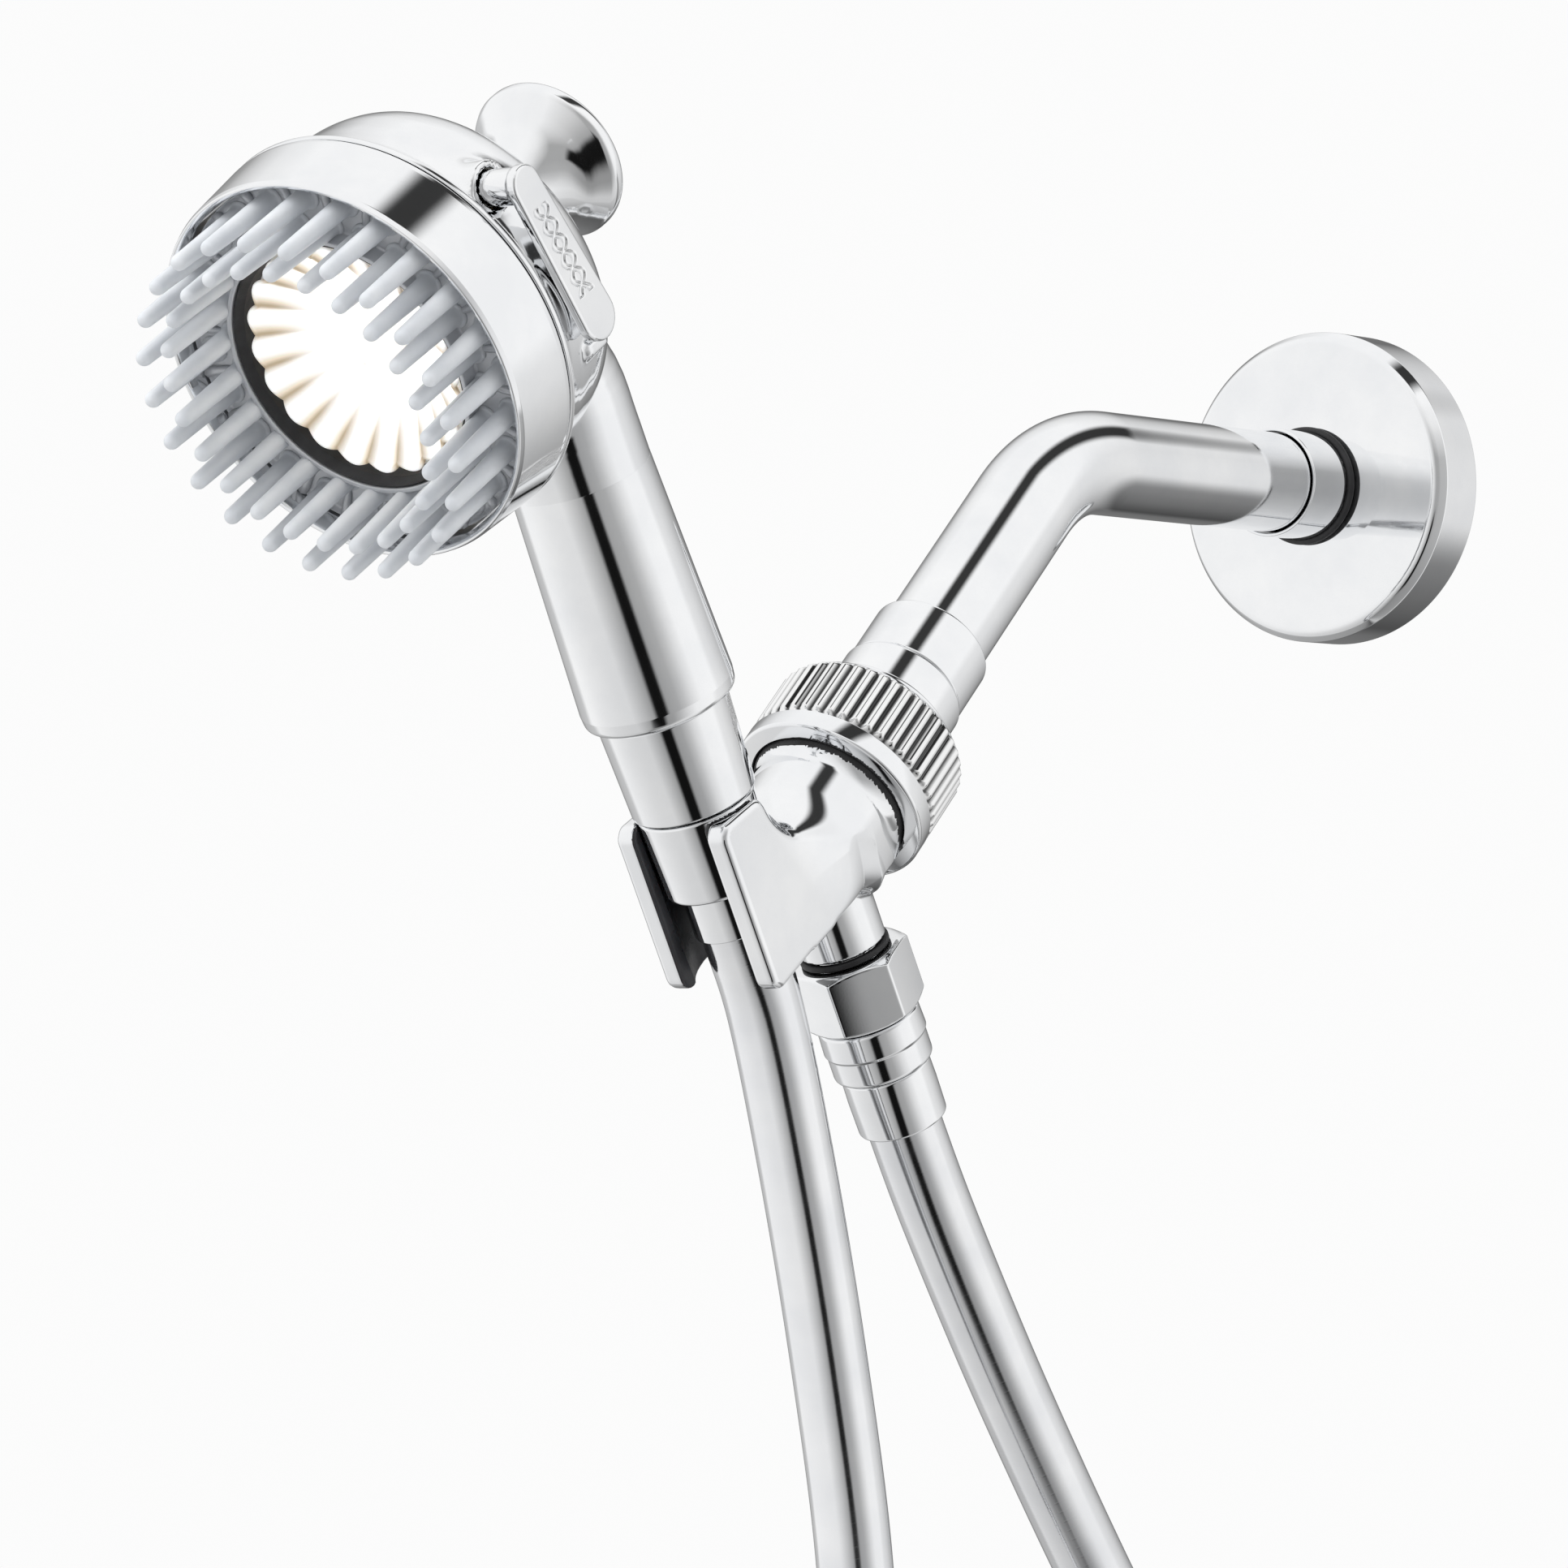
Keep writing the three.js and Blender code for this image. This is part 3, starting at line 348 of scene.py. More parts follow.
def volume_of(points, faces):
    """Six times the signed volume inside the faces, positive when they face out."""
    quads = np.array([face[:4] for face in faces if len(face) == 4])
    a, b, c, d = (points[quads[:, k]] for k in range(4))
    total = np.einsum("ij,ij->", a, np.cross(b, c)) + np.einsum("ij,ij->", a, np.cross(c, d))
    for face in faces:
        if len(face) > 4:
            corners = points[list(face)]
            total += (np.cross(corners[1:-1], corners[2:]) @ corners[0]).sum()
    return total


def turned(name, axis, profile, sides=SIDES, wave=None):
    """A revolved piece; a profile that touches the axis at both ends is left open there."""
    closed = profile[0][0] > 0 or profile[-1][0] > 0
    return soften(skinned(name, turned_mesh(profile, sides, wave), closed, axis))


def turn_about_axis(angle):
    """A matrix that turns rows of local points about local Y."""
    cos, sin = math.cos(angle), math.sin(angle)
    return np.array([[cos, 0, -sin], [0, 1, 0], [sin, 0, cos]])


def joined(name, pieces):
    """One object from several, in the first one's place."""
    with bpy.context.temp_override(active_object=pieces[0], selected_editable_objects=pieces):
        bpy.ops.object.join()
    pieces[0].name = name
    return pieces[0]


def smooth_path(points, step=3.0):
    """Points about step apart on a centripetal Catmull-Rom curve through the given ones."""
    known = [np.array(p, float) for p in points]
    known = [2 * known[0] - known[1], *known, 2 * known[-1] - known[-2]]
    out = []
    for p0, p1, p2, p3 in zip(known, known[1:], known[2:], known[3:]):
        t0 = 0
        t1 = t0 + np.linalg.norm(p1 - p0) ** 0.5
        t2 = t1 + np.linalg.norm(p2 - p1) ** 0.5
        t3 = t2 + np.linalg.norm(p3 - p2) ** 0.5
        for t in np.linspace(t1, t2, max(2, round(np.linalg.norm(p2 - p1) / step) + 1))[:-1]:
            a1 = (t1 - t) / (t1 - t0) * p0 + (t - t0) / (t1 - t0) * p1
            a2 = (t2 - t) / (t2 - t1) * p1 + (t - t1) / (t2 - t1) * p2
            a3 = (t3 - t) / (t3 - t2) * p2 + (t - t2) / (t3 - t2) * p3
            b1 = (t2 - t) / (t2 - t0) * a1 + (t - t0) / (t2 - t0) * a2
            b2 = (t3 - t) / (t3 - t1) * a2 + (t - t1) / (t3 - t1) * a3
            out.append((t2 - t) / (t2 - t1) * b1 + (t - t1) / (t2 - t1) * b2)
    out.append(known[-2])
    return np.array(out)


def tube_rings(path, radii, sides):
    """Rings square to a path, carried along it without twisting."""
    path = np.asarray(path, float)
    runs = np.gradient(path, axis=0)
    runs /= np.linalg.norm(runs, axis=1)[:, None]
    across = np.array([1.0, 0, 0])
    angles = np.linspace(0, 2 * math.pi, sides, endpoint=False)[:, None]
    rings = []
    for centre, run, radius in zip(path, runs, radii):
        across = across - (across @ run) * run
        across /= np.linalg.norm(across)
        up = np.cross(run, across)
        rings.append(centre + radius * (np.cos(angles) * across + np.sin(angles) * up))
    return np.array(rings)


# ---------------------------------------------------------------- solids given by a distance field


def length(vectors):
    return np.sqrt((vectors**2).sum(-1))


def either(a, b, blend):
    """The union of two fields with a fillet of about that size."""
    share = np.clip(0.5 + 0.5 * (b - a) / blend, 0, 1)
    return b + (a - b) * share - blend * share * (1 - share)


def both(a, b, blend):
    return -either(-a, -b, blend)


def without(a, b, blend):
    return both(a, -b, blend)


def overlap(a, b, edge):
    """Where two fields overlap, with the edge between them turned to a radius that may vary."""
    over_a, over_b = np.maximum(a + edge, 0), np.maximum(b + edge, 0)
    return np.hypot(over_a, over_b) + np.minimum(np.maximum(a, b) + edge, 0) - edge


def past_ends(values, low, high):
    """How far a value is outside low..high, negative between them."""
    return np.maximum(low - values, values - high)


def column(points, radius, low, high, edge=0.4):
    """A round bar about local Y."""
    beside = np.hypot(points[..., 0], points[..., 2]) - radius
    return both(beside, past_ends(points[..., 1], low, high), edge)


def outline_distance(u, v, corners):
    """Signed distance from (u, v) to a closed outline."""
    nearest = np.full(np.shape(u), 1e9)
    inside = np.zeros(np.shape(u), bool)
    for (u0, v0), (u1, v1) in zip(corners, corners[1:] + corners[:1]):
        du, dv = u1 - u0, v1 - v0
        share = np.clip(((u - u0) * du + (v - v0) * dv) / (du * du + dv * dv), 0, 1)
        nearest = np.minimum(nearest, (u - u0 - share * du) ** 2 + (v - v0 - share * dv) ** 2)
        if dv:
            crosses = ((v0 > v) != (v1 > v)) & (u < du * (v - v0) / dv + u0)
            inside ^= crosses
    return np.where(inside, -1, 1) * np.sqrt(nearest)


def slope_of(field, points, reach):
    """The field's gradient by central differences."""
    parts = []
    for k in range(3):
        step = np.zeros(3)
        step[k] = reach
        parts.append((field(points + step) - field(points - step)) / (2 * reach))
    return np.stack(parts, -1)


def edge_slices(axis, shape):
    """The grid edges along one axis that each cell touches, as four selections of that edge array."""
    others = [k for k in range(3) if k != axis]
    for i in (0, 1):
        for j in (0, 1):
            pick = [slice(None)] * 3
            pick[others[0]] = slice(i, shape[others[0]] - 1 + i)
            pick[others[1]] = slice(j, shape[others[1]] - 1 + j)
            yield tuple(pick)


def surface(field, low, high, cell):
    """Points, normals and quads where the field is zero inside a box (dual surface, then drawn onto it)."""
    ticks = [np.arange(a, b + cell, cell) for a, b in zip(low, high)]
    grid = np.stack(np.meshgrid(*ticks, indexing="ij"), -1)
    values = field(grid)
    shape = values.shape
    cells = tuple(n - 1 for n in shape)
    total = np.zeros(cells + (3,))
    hits = np.zeros(cells)
    crossings = []
    for axis in range(3):
        near = tuple(slice(None, -1) if k == axis else slice(None) for k in range(3))
        far = tuple(slice(1, None) if k == axis else slice(None) for k in range(3))
        crossed = (values[near] < 0) != (values[far] < 0)
        share = np.where(crossed, values[near] / np.where(crossed, values[near] - values[far], 1), 0)
        spots = grid[near] + share[..., None] * (grid[far] - grid[near])
        crossings.append((crossed, values[near] < 0))
        for pick in edge_slices(axis, shape):
            hits += crossed[pick]
            total += spots[pick] * crossed[pick][..., None]
    active = hits > 0
    numbers = np.full(cells, -1)
    numbers[active] = np.arange(active.sum())
    points = total[active] / hits[active][:, None]
    quads = []
    for axis, (crossed, starts_inside) in enumerate(crossings):
        others = [k for k in range(3) if k != axis]
        spots = np.argwhere(crossed)
        fits = np.all([(spots[:, k] > 0) & (spots[:, k] < shape[k] - 1) for k in others], axis=0)
        spots = spots[fits]
        corners = []
        for i, j in ((1, 1), (0, 1), (0, 0), (1, 0)):
            at = spots.copy()
            at[:, others[0]] -= i
            at[:, others[1]] -= j
            corners.append(numbers[tuple(at.T)])
        faces = np.stack(corners, 1)
        outward = starts_inside[tuple(spots.T)] ^ (axis == 1)
        faces[~outward] = faces[~outward][:, ::-1]
        quads.append(faces)
    for _ in range(4):
        slope = slope_of(field, points, cell / 4)
        move = field(points)[:, None] * slope / np.maximum((slope**2).sum(1), 0.05)[:, None]
        points = points - np.clip(move, -cell / 2, cell / 2)
    normals = slope_of(field, points, cell / 3)
    normals /= np.maximum(np.linalg.norm(normals, axis=1), 1e-6)[:, None]
    return points, normals, np.concatenate(quads)


def carved(name, axis, field, low, high, cell):
    """A piece from a distance field in an axis's local millimetres."""
    points, normals, quads = surface(field, low, high, cell)
    return new_object(name, axis.place(points), quads.tolist(), normals=axis.turn(normals))


# ---------------------------------------------------------------- materials


class Nodes:
    """A short way to add nodes and link them by socket name."""

    def __init__(self, tree):
        self.tree = tree

    def add(self, kind, inputs=None, **settings):
        node = self.tree.nodes.new(kind)
        for key, value in settings.items():
            setattr(node, key, value)
        for key, value in (inputs or {}).items():
            if isinstance(value, bpy.types.NodeSocket):
                self.tree.links.new(value, node.inputs[key])
            else:
                node.inputs[key].default_value = value
        return node

    def ramp(self, factor, stops):
        """stops are (place, grey or colour)."""
        node = self.add("ShaderNodeValToRGB", {"Fac": factor})
        ramp = node.color_ramp
        while len(ramp.elements) < len(stops):
            ramp.elements.new(1)
        for element, (place, colour) in zip(ramp.elements, stops):
            element.position = place
            element.color = (*colour, 1) if isinstance(colour, tuple) else (colour, colour, colour, 1)
        return node.outputs["Color"]

    def noise(self, scale, detail=3, roughness=0.5):
        inputs = {"Vector": self.place(), "Scale": scale, "Detail": detail, "Roughness": roughness}
        return self.add("ShaderNodeTexNoise", inputs).outputs["Fac"]

    def cloud(self, scale, detail, low, dark, high, light):
        """Two tones mixed by noise."""
        return self.ramp(self.noise(scale, detail), [(low, dark), (high, light)])

    def place(self):
        return self.add("ShaderNodeTexCoord").outputs["Object"]

    def uv(self):
        """How far round its ring a point lies, 0 to 1, and how many metres along the piece."""
        uv = self.add("ShaderNodeTexCoord").outputs["UV"]
        split = self.add("ShaderNodeSeparateXYZ", {"Vector": uv})
        return split.outputs["X"], split.outputs["Y"]

    def maths(self, operation, *values):
        return self.add("ShaderNodeMath", dict(enumerate(values)), operation=operation).outputs[0]

    def stripes(self, count, stops):
        """A ramp that repeats so many times round each ring."""
        round_it, _ = self.uv()
        return self.ramp(self.maths("FRACT", self.maths("MULTIPLY", round_it, float(count))), stops)

    def dot(self, looking, direction):
        node = self.add("ShaderNodeVectorMath", {0: looking, 1: direction}, operation="DOT_PRODUCT")
        return node.outputs["Value"]

    def between(self, value, start, end, **settings):
        """0 at start and 1 at end."""
        inputs = {"Value": value, "From Min": start, "From Max": end}
        return self.add("ShaderNodeMapRange", inputs, **settings).outputs[0]

    def spread(self, factor, low, high):
        """Maps 0..1 onto low..high."""
        return self.add("ShaderNodeMapRange", {"Value": factor, "To Min": low, "To Max": high}).outputs[0]

    def bump(self, height, distance, strength=1.0, normal=None):
        inputs = {"Height": height, "Distance": distance, "Strength": strength}
        if normal:
            inputs["Normal"] = normal
        return self.add("ShaderNodeBump", inputs).outputs["Normal"]


def new_material(name, **constants):
    """A material, its nodes and its shader, with constants set on the shader's sockets."""
    material = bpy.data.materials.new(name)
    material.use_nodes = True
    shader = material.node_tree.nodes["Principled BSDF"]
    for key, value in constants.items():
        shader.inputs[key.replace("_", " ")].default_value = value
    return material, Nodes(material.node_tree), shader


def link(nodes, shader, **sockets):
    for key, value in sockets.items():
        nodes.tree.links.new(value, shader.inputs[key.replace("_", " ")])


def chrome(name, rough_low, rough_high, ripple):
    """Bright plating: nearly a mirror, with faint water marks and a polished casting's slight waviness."""
    material, nodes, shader = new_material(name, Metallic=1)
    marks = nodes.noise(60, 5, 0.6)
    tint = nodes.ramp(marks, [(0.35, (0.86, 0.87, 0.885)), (0.7, (0.93, 0.935, 0.94))])
    rough = nodes.spread(nodes.noise(220, 4), rough_low, rough_high)
    wave = nodes.bump(nodes.noise(45, 1), ripple)
    fine = nodes.bump(nodes.noise(2600, 2), 0.000002, 0.4, wave)
    link(nodes, shader, Base_Color=tint, Roughness=rough, Normal=fine)
    return material


def ribbed_chrome_painted_shade():
    """Plating over straight ribs: bright on the tops and dark down in the narrow valleys, where the darkness
    is painted shade.
    """
    material, nodes, shader = new_material("ribbed_chrome_painted_shade", Metallic=1)
    # floor and wall are painted valley shade; flank and top are the plating's own tint
    floor, wall, flank, top = 0.05, 0.14, 0.88, 0.92
    stops = [(0.0, floor), (0.1, wall), (0.26, flank), (0.74, top), (0.9, wall), (1.0, floor)]
    rough = nodes.spread(nodes.noise(220, 4), 0.04, 0.1)
    link(nodes, shader, Base_Color=nodes.stripes(NUT["ribs"], stops), Roughness=rough)
    return material


def hose_silver():
    """A silver strip wound under a clear skin: a fine low spiral and a soft bright gloss."""
    material, nodes, shader = new_material("hose_silver", Metallic=1, Coat_Weight=0.4, Coat_Roughness=0.06)
    turns_per_metre = 420.0
    round_it, along = nodes.uv()
    turns = nodes.maths("ADD", nodes.maths("MULTIPLY", along, turns_per_metre), round_it)
    strip = nodes.ramp(nodes.maths("FRACT", turns), [(0.0, 0.35), (0.08, 1.0), (0.92, 1.0), (1.0, 0.35)])
    tint = nodes.cloud(90, 4, 0.3, (0.80, 0.81, 0.83), 0.7, (0.88, 0.885, 0.895))
    rough = nodes.spread(nodes.noise(300, 3), 0.09, 0.16)
    link(nodes, shader, Base_Color=tint, Roughness=rough, Normal=nodes.bump(strip, 0.00002, 0.25))
    return material


def grained(name, tint, gloss, grain, **constants):
    """A material whose colour, gloss and fine grain all vary with noise."""
    material, nodes, shader = new_material(name, **constants)
    rough = nodes.spread(nodes.noise(*gloss[:2]), *gloss[2:])
    bump = nodes.bump(nodes.noise(*grain[:2]), grain[2])
    link(nodes, shader, Base_Color=nodes.cloud(*tint), Roughness=rough, Normal=bump)
    return material


def silicone():
    """Soft grey nozzle rubber: milky, slightly glossy, with a dusting of finer speckle."""
    milky = dict(Subsurface_Weight=0.35, Subsurface_Radius=(1.0, 1.0, 1.0), Subsurface_Scale=0.0015)
    milky |= dict(Transmission_Weight=0.08)
    tint = (160, 4, 0.3, (0.64, 0.665, 0.70), 0.7, (0.74, 0.76, 0.785))
    return grained("nozzle_silicone", tint, (900, 3, 0.3, 0.48), (3000, 2, 0.00001), **milky)


def face_grey():
    """The recessed face behind the nozzles: satin grey with a fine moulded grain."""
    tint = (120, 4, 0.3, (0.46, 0.475, 0.50), 0.7, (0.56, 0.57, 0.59))
    return grained("face_grey", tint, (700, 3, 0.25, 0.42), (2400, 3, 0.00002), Metallic=0.35)


def moulded(name, dark, light, rough_low, rough_high, painted_glow=0.0):
    """Moulded plastic: a slight cloudiness, uneven gloss and a fine grain; any glow given is painted light
    from emission.
    """
    soft = dict(Subsurface_Weight=0.15, Subsurface_Scale=0.002)
    # the emission is a painted glow
    soft |= dict(Emission_Color=(1.0, 0.97, 0.9, 1), Emission_Strength=painted_glow)
    tint = (140, 5, 0.3, dark, 0.72, light)
    return grained(name, tint, (600, 3, rough_low, rough_high), (2800, 3, 0.00002), **soft)


def fluted_cream_painted_shade_glow():
    """The spray cup: near-white plastic with a painted glow from emission, and painted shade, tan, down in
    the grooves near its mouth.
    """
    material, nodes, shader = new_material("fluted_cream_painted_shade_glow", Subsurface_Weight=0.15, Subsurface_Scale=0.002)
    # tan and the buff stop are painted shade in the grooves; deep fades it to white further in
    white, shaded_buff, tan = (0.97, 0.965, 0.95), (0.68, 0.60, 0.48), (0.42, 0.34, 0.23)
    stops = [(0.0, tan), (0.1, shaded_buff), (0.3, white), (0.7, white), (0.97, tan)]
    inward = nodes.dot(nodes.place(), Vector(HEAD_AXIS.rows[1]))
    face = float(HEAD_AXIS.origin @ HEAD_AXIS.rows[1]) * MM
    start, end = (face + CUP[k] * MM for k in ("groove_shade_to", "white_from"))
    deep = nodes.between(inward, start, end, interpolation_type="SMOOTHSTEP")
    mix = nodes.add("ShaderNodeMix", {"Factor": deep}, data_type="RGBA")
    nodes.tree.links.new(nodes.stripes(CUP["flutes"], stops), mix.inputs["A"])
    mix.inputs["B"].default_value = (*white, 1)
    tint = mix.outputs["Result"]
    # painted glow: the cup's own emission
    painted_glow = nodes.spread(nodes.noise(140, 5), 0.4, 0.5)
    rough = nodes.spread(nodes.noise(600, 3), 0.3, 0.45)
    link(nodes, shader, Base_Color=tint, Emission_Color=tint, Emission_Strength=painted_glow, Roughness=rough)
    return material


def rubber():
    tint = (250, 5, 0.3, (0.008, 0.008, 0.009), 0.75, (0.022, 0.022, 0.024))
    return grained("black_rubber", tint, (800, 3, 0.42, 0.62), (4000, 3, 0.00003))


def strap_weave():
    """Woven strap: two crossed sets of threads."""
    material, nodes, shader = new_material("strap_weave", Sheen_Weight=0.3, Roughness=0.85)
    threads = []
    for scale, across in ((380.0, "Z"), (300.0, "X")):
        inputs = {"Vector": nodes.place(), "Scale": scale, "Distortion": 0.6}
        threads.append(nodes.add("ShaderNodeTexWave", inputs, bands_direction=across).outputs["Fac"])
    weave = nodes.maths("MULTIPLY", *threads)
    tint = nodes.ramp(weave, [(0.0, (0.008, 0.008, 0.009)), (1.0, (0.05, 0.05, 0.055))])
    link(nodes, shader, Base_Color=tint, Normal=nodes.bump(weave, 0.0002))
    return material


def brass():
    tint = (200, 5, 0.3, (0.60, 0.42, 0.16), 0.7, (0.78, 0.60, 0.30))
    return grained("machined_brass", tint, (500, 4, 0.2, 0.38), (1800, 2, 0.00001), Metallic=1)


def floor_paint():
    material, nodes, shader = new_material("floor_paint", Roughness=0.7)
    link(nodes, shader, Base_Color=nodes.cloud(6, 4, 0.3, (0.80, 0.80, 0.80), 0.7, (0.84, 0.84, 0.84)))
    return material


METAL = chrome("chromed_metal", 0.03, 0.07, 0.000015)
# Near-black plastic for the faces inside the holder's slot: painted shade, standing in for the shaded parts
# those faces mirror.
CRADLE_PAINTED_SHADE = moulded("cradle_painted_shade", (0.015, 0.015, 0.017), (0.035, 0.035, 0.04), 0.22, 0.38)
SLOT_MATERIALS = {
    "chromed_metal": METAL,
    "chromed_shell": chrome("chromed_shell", 0.045, 0.085, 0.00003),
    "silver_hose": hose_silver(),
    "black_strap": strap_weave(),
    "black_rubber": rubber(),
    "brass": brass(),
    "grey_silicone": silicone(),
    # cream and white plastic glow a little: painted light from emission
    "cream_plastic": moulded("cream_plastic", (0.92, 0.88, 0.79), (0.95, 0.93, 0.88), 0.3, 0.45, painted_glow=0.3),
    "white_plastic": moulded("white_plastic", (0.86, 0.86, 0.84), (0.93, 0.93, 0.91), 0.32, 0.5, painted_glow=0.1),
}

# ---------------------------------------------------------------- placing pieces on the frame

BODY_OF = {node: body for body, nodes in frame["record"]["behaviour"]["bodies"].items() for node in nodes}
SLOT_OF = {part["node"]: part["material_slot"] for part in frame["record"]["subparts"]}


def stands_for(piece, *nodes, extra=()):
    """Gives a piece the body and the slot's material of the CAD nodes that it replaces."""
    slot = SLOT_OF[nodes[0]]
    if not piece.data.materials:
        piece.data.materials.append(SLOT_MATERIALS[slot])
    for material in extra:
        piece.data.materials.append(material)
    if "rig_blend" not in piece:
        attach(piece, BODY_OF[nodes[0]])
    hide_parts(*nodes)
    return piece


# ---------------------------------------------------------------- hose


def hose_path():
    """The hose's centre line: wall leg down, one and a half turns, and the hand leg up."""
    centre = np.array([0, COIL["y"], COIL["z"]], float)
    down = smooth_path(WALL_LEG)
    up = smooth_path(HAND_LEG)[::-1]
    steps = 150
    coil = []
    for k in range(steps + 1):
        swept = COIL["turn_deg"] * k / steps
        share = min(max(swept / COIL["cross_deg"] - 1, 0), 1)
        x = COIL["strand"] * (1 - 2 * share * share * (3 - 2 * share))
        angle = math.radians(swept)
        offset = np.array([x, COIL["radius"] * math.cos(angle), -COIL["radius"] * math.sin(angle)])
        coil.append(centre + offset)
    between = 14  # points of each straight join, with its ends
    join_down = np.linspace(down[-1], coil[0], between)[1:-1]
    join_up = np.linspace(coil[-1], up[0], between)[1:-1]
    return np.concatenate([down, join_down, coil, join_up, up])


def make_hose():
    path = hose_path()
    rings = tube_rings(path, np.full(len(path), HOSE["radius"]), HOSE["sides"])
    hose = skinned("shower_hose", rings, closed=False)
    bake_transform(hose, "holder", "hose_end", start=(0, -0.1855, -0.1825), end=(0, -0.2296, -0.1696))
    stands_for(hose, "hose_wall_leg", "hose_hand_leg", "hose_coil")
    straps = [make_strap("front", -1), make_strap("wall", 1)]


def make_strap(side_name, side):
    """A hook-and-loop strap round both strands, with its end lapped over."""
    wide, thick = STRAP["wide"], STRAP["thick"]
    radius = HOSE["radius"] + STRAP["slack"]
    strand = COIL["strand"]
    outline = []
    for centre, start in ((strand, -90), (-strand, 90)):
        for angle in np.radians(np.linspace(start, start + 180, 25)):
            outline.append((centre + radius * math.cos(angle), radius * math.sin(angle)))
    outline = np.array(outline)
    middle = np.array([0, COIL["y"] + side * COIL["radius"], COIL["z"]])
    section = rounded([(0, -wide / 2), (thick, -wide / 2), (thick, wide / 2), (0, wide / 2)], 0.3, 3)
    outward = np.roll(outline, -1, 0) - np.roll(outline, 1, 0)
    outward = np.stack([outward[:, 1], -outward[:, 0]], 1)
    outward /= np.linalg.norm(outward, axis=1)[:, None]
    rings = []
    for spot, out in zip(outline, outward):
        ring = [(spot[0] + out[0] * t, spot[1] + out[1] * t, w) for t, w in section]
        rings.append(ring)
    loop = skinned("strap_" + side_name, np.array(rings) + middle, closed=True)
    lap = []
    rows, round_rows, scale = STRAP["lap_rows"], STRAP["lap_round"], 0.9
    height = radius + thick + 0.1
    for k, x in enumerate(np.linspace(STRAP["lap_from"], STRAP["lap_to"], rows)):
        width = 1 - 0.35 * max(0, (k + 1 + round_rows - rows) / round_rows) ** 2
        lap.append([(x, side * (height + t * scale), w * scale * width) for t, w in section])
    flap = skinned("strap_flap_" + side_name, np.array(lap) + middle, closed=False)
    strap = joined("strap_" + side_name, [loop, flap])
    return stands_for(soften(strap), "hose_tie_" + side_name)


# ---------------------------------------------------------------- wall flange and arm


def tube_profile(inner, outer, start, end):
    return [(inner, start), (outer, start), (outer, end), (inner, end)]


def make_flange():
    radius, depth, wall, opening = (FLANGE[k] for k in ("radius", "depth", "wall", "opening"))
    outer = [
        (radius, 0, 0.4),
        (radius, depth - 3.4, 0.6),
        (radius - 1.6, depth - 1.0, 2.4),
        (opening + 5, depth - 0.1, 1.5),
        (opening, depth, 0.4),
    ]
    inner = [
        (opening, depth - wall, 0.3),
        (radius - wall - 2, depth - wall - 0.2, 2),
        (radius - wall, depth - wall - 3, 1),
        (radius - wall, 0, 0.3),
    ]
    flange = turned("wall_flange_cover", WALL_AXIS, rounded(outer + inner, steps=6))
    stands_for(flange, "wall_flange")
    ring = arc(FLANGE_RING["middle"], FLANGE_RING["at"], FLANGE_RING["thick"], 0, 345, 23)
    stands_for(turned("flange_ring_seal", WALL_AXIS, ring), "flange_ring")
    sleeve = tube_profile(TRIM_BORE, SLEEVE["radius"], SLEEVE["start"], SLEEVE["end"])
    stands_for(turned("flange_sleeve_trim", WALL_AXIS, rounded(sleeve, 0.28)), "flange_sleeve")


def arm_path():
    """Centre line of the arm and how far along it each point lies from the thread's end."""
    slope = math.radians(SLOPE_DEG)
    bend = PIPE["bend_radius"]
    tangent = bend * math.tan(slope / 2)
    fine_step, fine_steps = 0.3, 46  # along the thread
    level = [(0, PIPE["into_wall"] - fine_step * k, 0) for k in range(fine_steps)]
    level += [(0, y, 0) for y in np.linspace(0, tangent - PIPE["to_bend"], 12)]
    curve = []
    for angle in np.linspace(0, slope, 24)[1:-1]:
        y = tangent - PIPE["to_bend"] - bend * math.sin(angle)
        curve.append((0, y, bend * (math.cos(angle) - 1)))
    straight = [SLOPE_AXIS.place((0, s, 0)) for s in np.linspace(tangent, PIPE["slope_end"], 12)]
    path = np.array(level + curve + [tuple(p) for p in straight])
    steps = np.linalg.norm(np.diff(path, axis=0), axis=1)
    return path, np.concatenate([[0], np.cumsum(steps)])


def make_arm():
    path, along = arm_path()
    thread_end = THREAD["run_in"] + THREAD["ridges"] * THREAD["pitch"]
    phase = np.abs(((along - THREAD["run_in"]) / THREAD["pitch"]) % 1 - 0.5) * 2
    radii = PIPE["radius"] - np.where(along < thread_end, THREAD["height"] * phase, 0)
    outer = tube_rings(path, radii, SIDES)
    inner = tube_rings(path, np.full(len(path), PIPE["bore"]), SIDES)[::-1]
    arm = skinned("shower_arm_pipe", np.concatenate([outer, inner]), closed=True)
    stands_for(arm, "shower_arm")


def make_swivel():
    coupler = [(TRIM_BORE, COUPLER["start"]), (COUPLER["radius"], COUPLER["start"], 0.6)]
    coupler += [(COUPLER["radius"], COUPLER["end"], 0.5), (TRIM_BORE, COUPLER["end"])]
    stands_for(turned("arm_coupler_trim", SLOPE_AXIS, rounded(coupler, 0.25)), "arm_coupler")
    radius, start, step, step_at, cap, cap_at, end, seat, bore = ADAPTER.values()
    adapter = [
        (TRIM_BORE, start, 0.2),
        (radius, start, 0.5),
        (radius, step_at - 0.6, 0.6),
        (step, step_at, 0.6),
        (step, cap_at - 0.2, 0.5),
        (cap, cap_at, 0.4),
        (cap, end, 0.3),
        (step + 0.3, end, 0.2),
        (step - 0.8, seat, 0.2),
        (bore, seat, 0.2),
        (bore, step_at + 0.8, 0.2),
        (TRIM_BORE, step_at + 0.8, 0.1),
    ]
    stands_for(turned("swivel_adapter_body", SLOPE_AXIS, rounded(adapter)), "swivel_adapter")


def rib_wave(angles):
    """Straight ribs with round tops and sharp valleys."""
    return NUT["rib_depth"] * (1 - np.abs(np.sin(NUT["ribs"] / 2 * angles)))


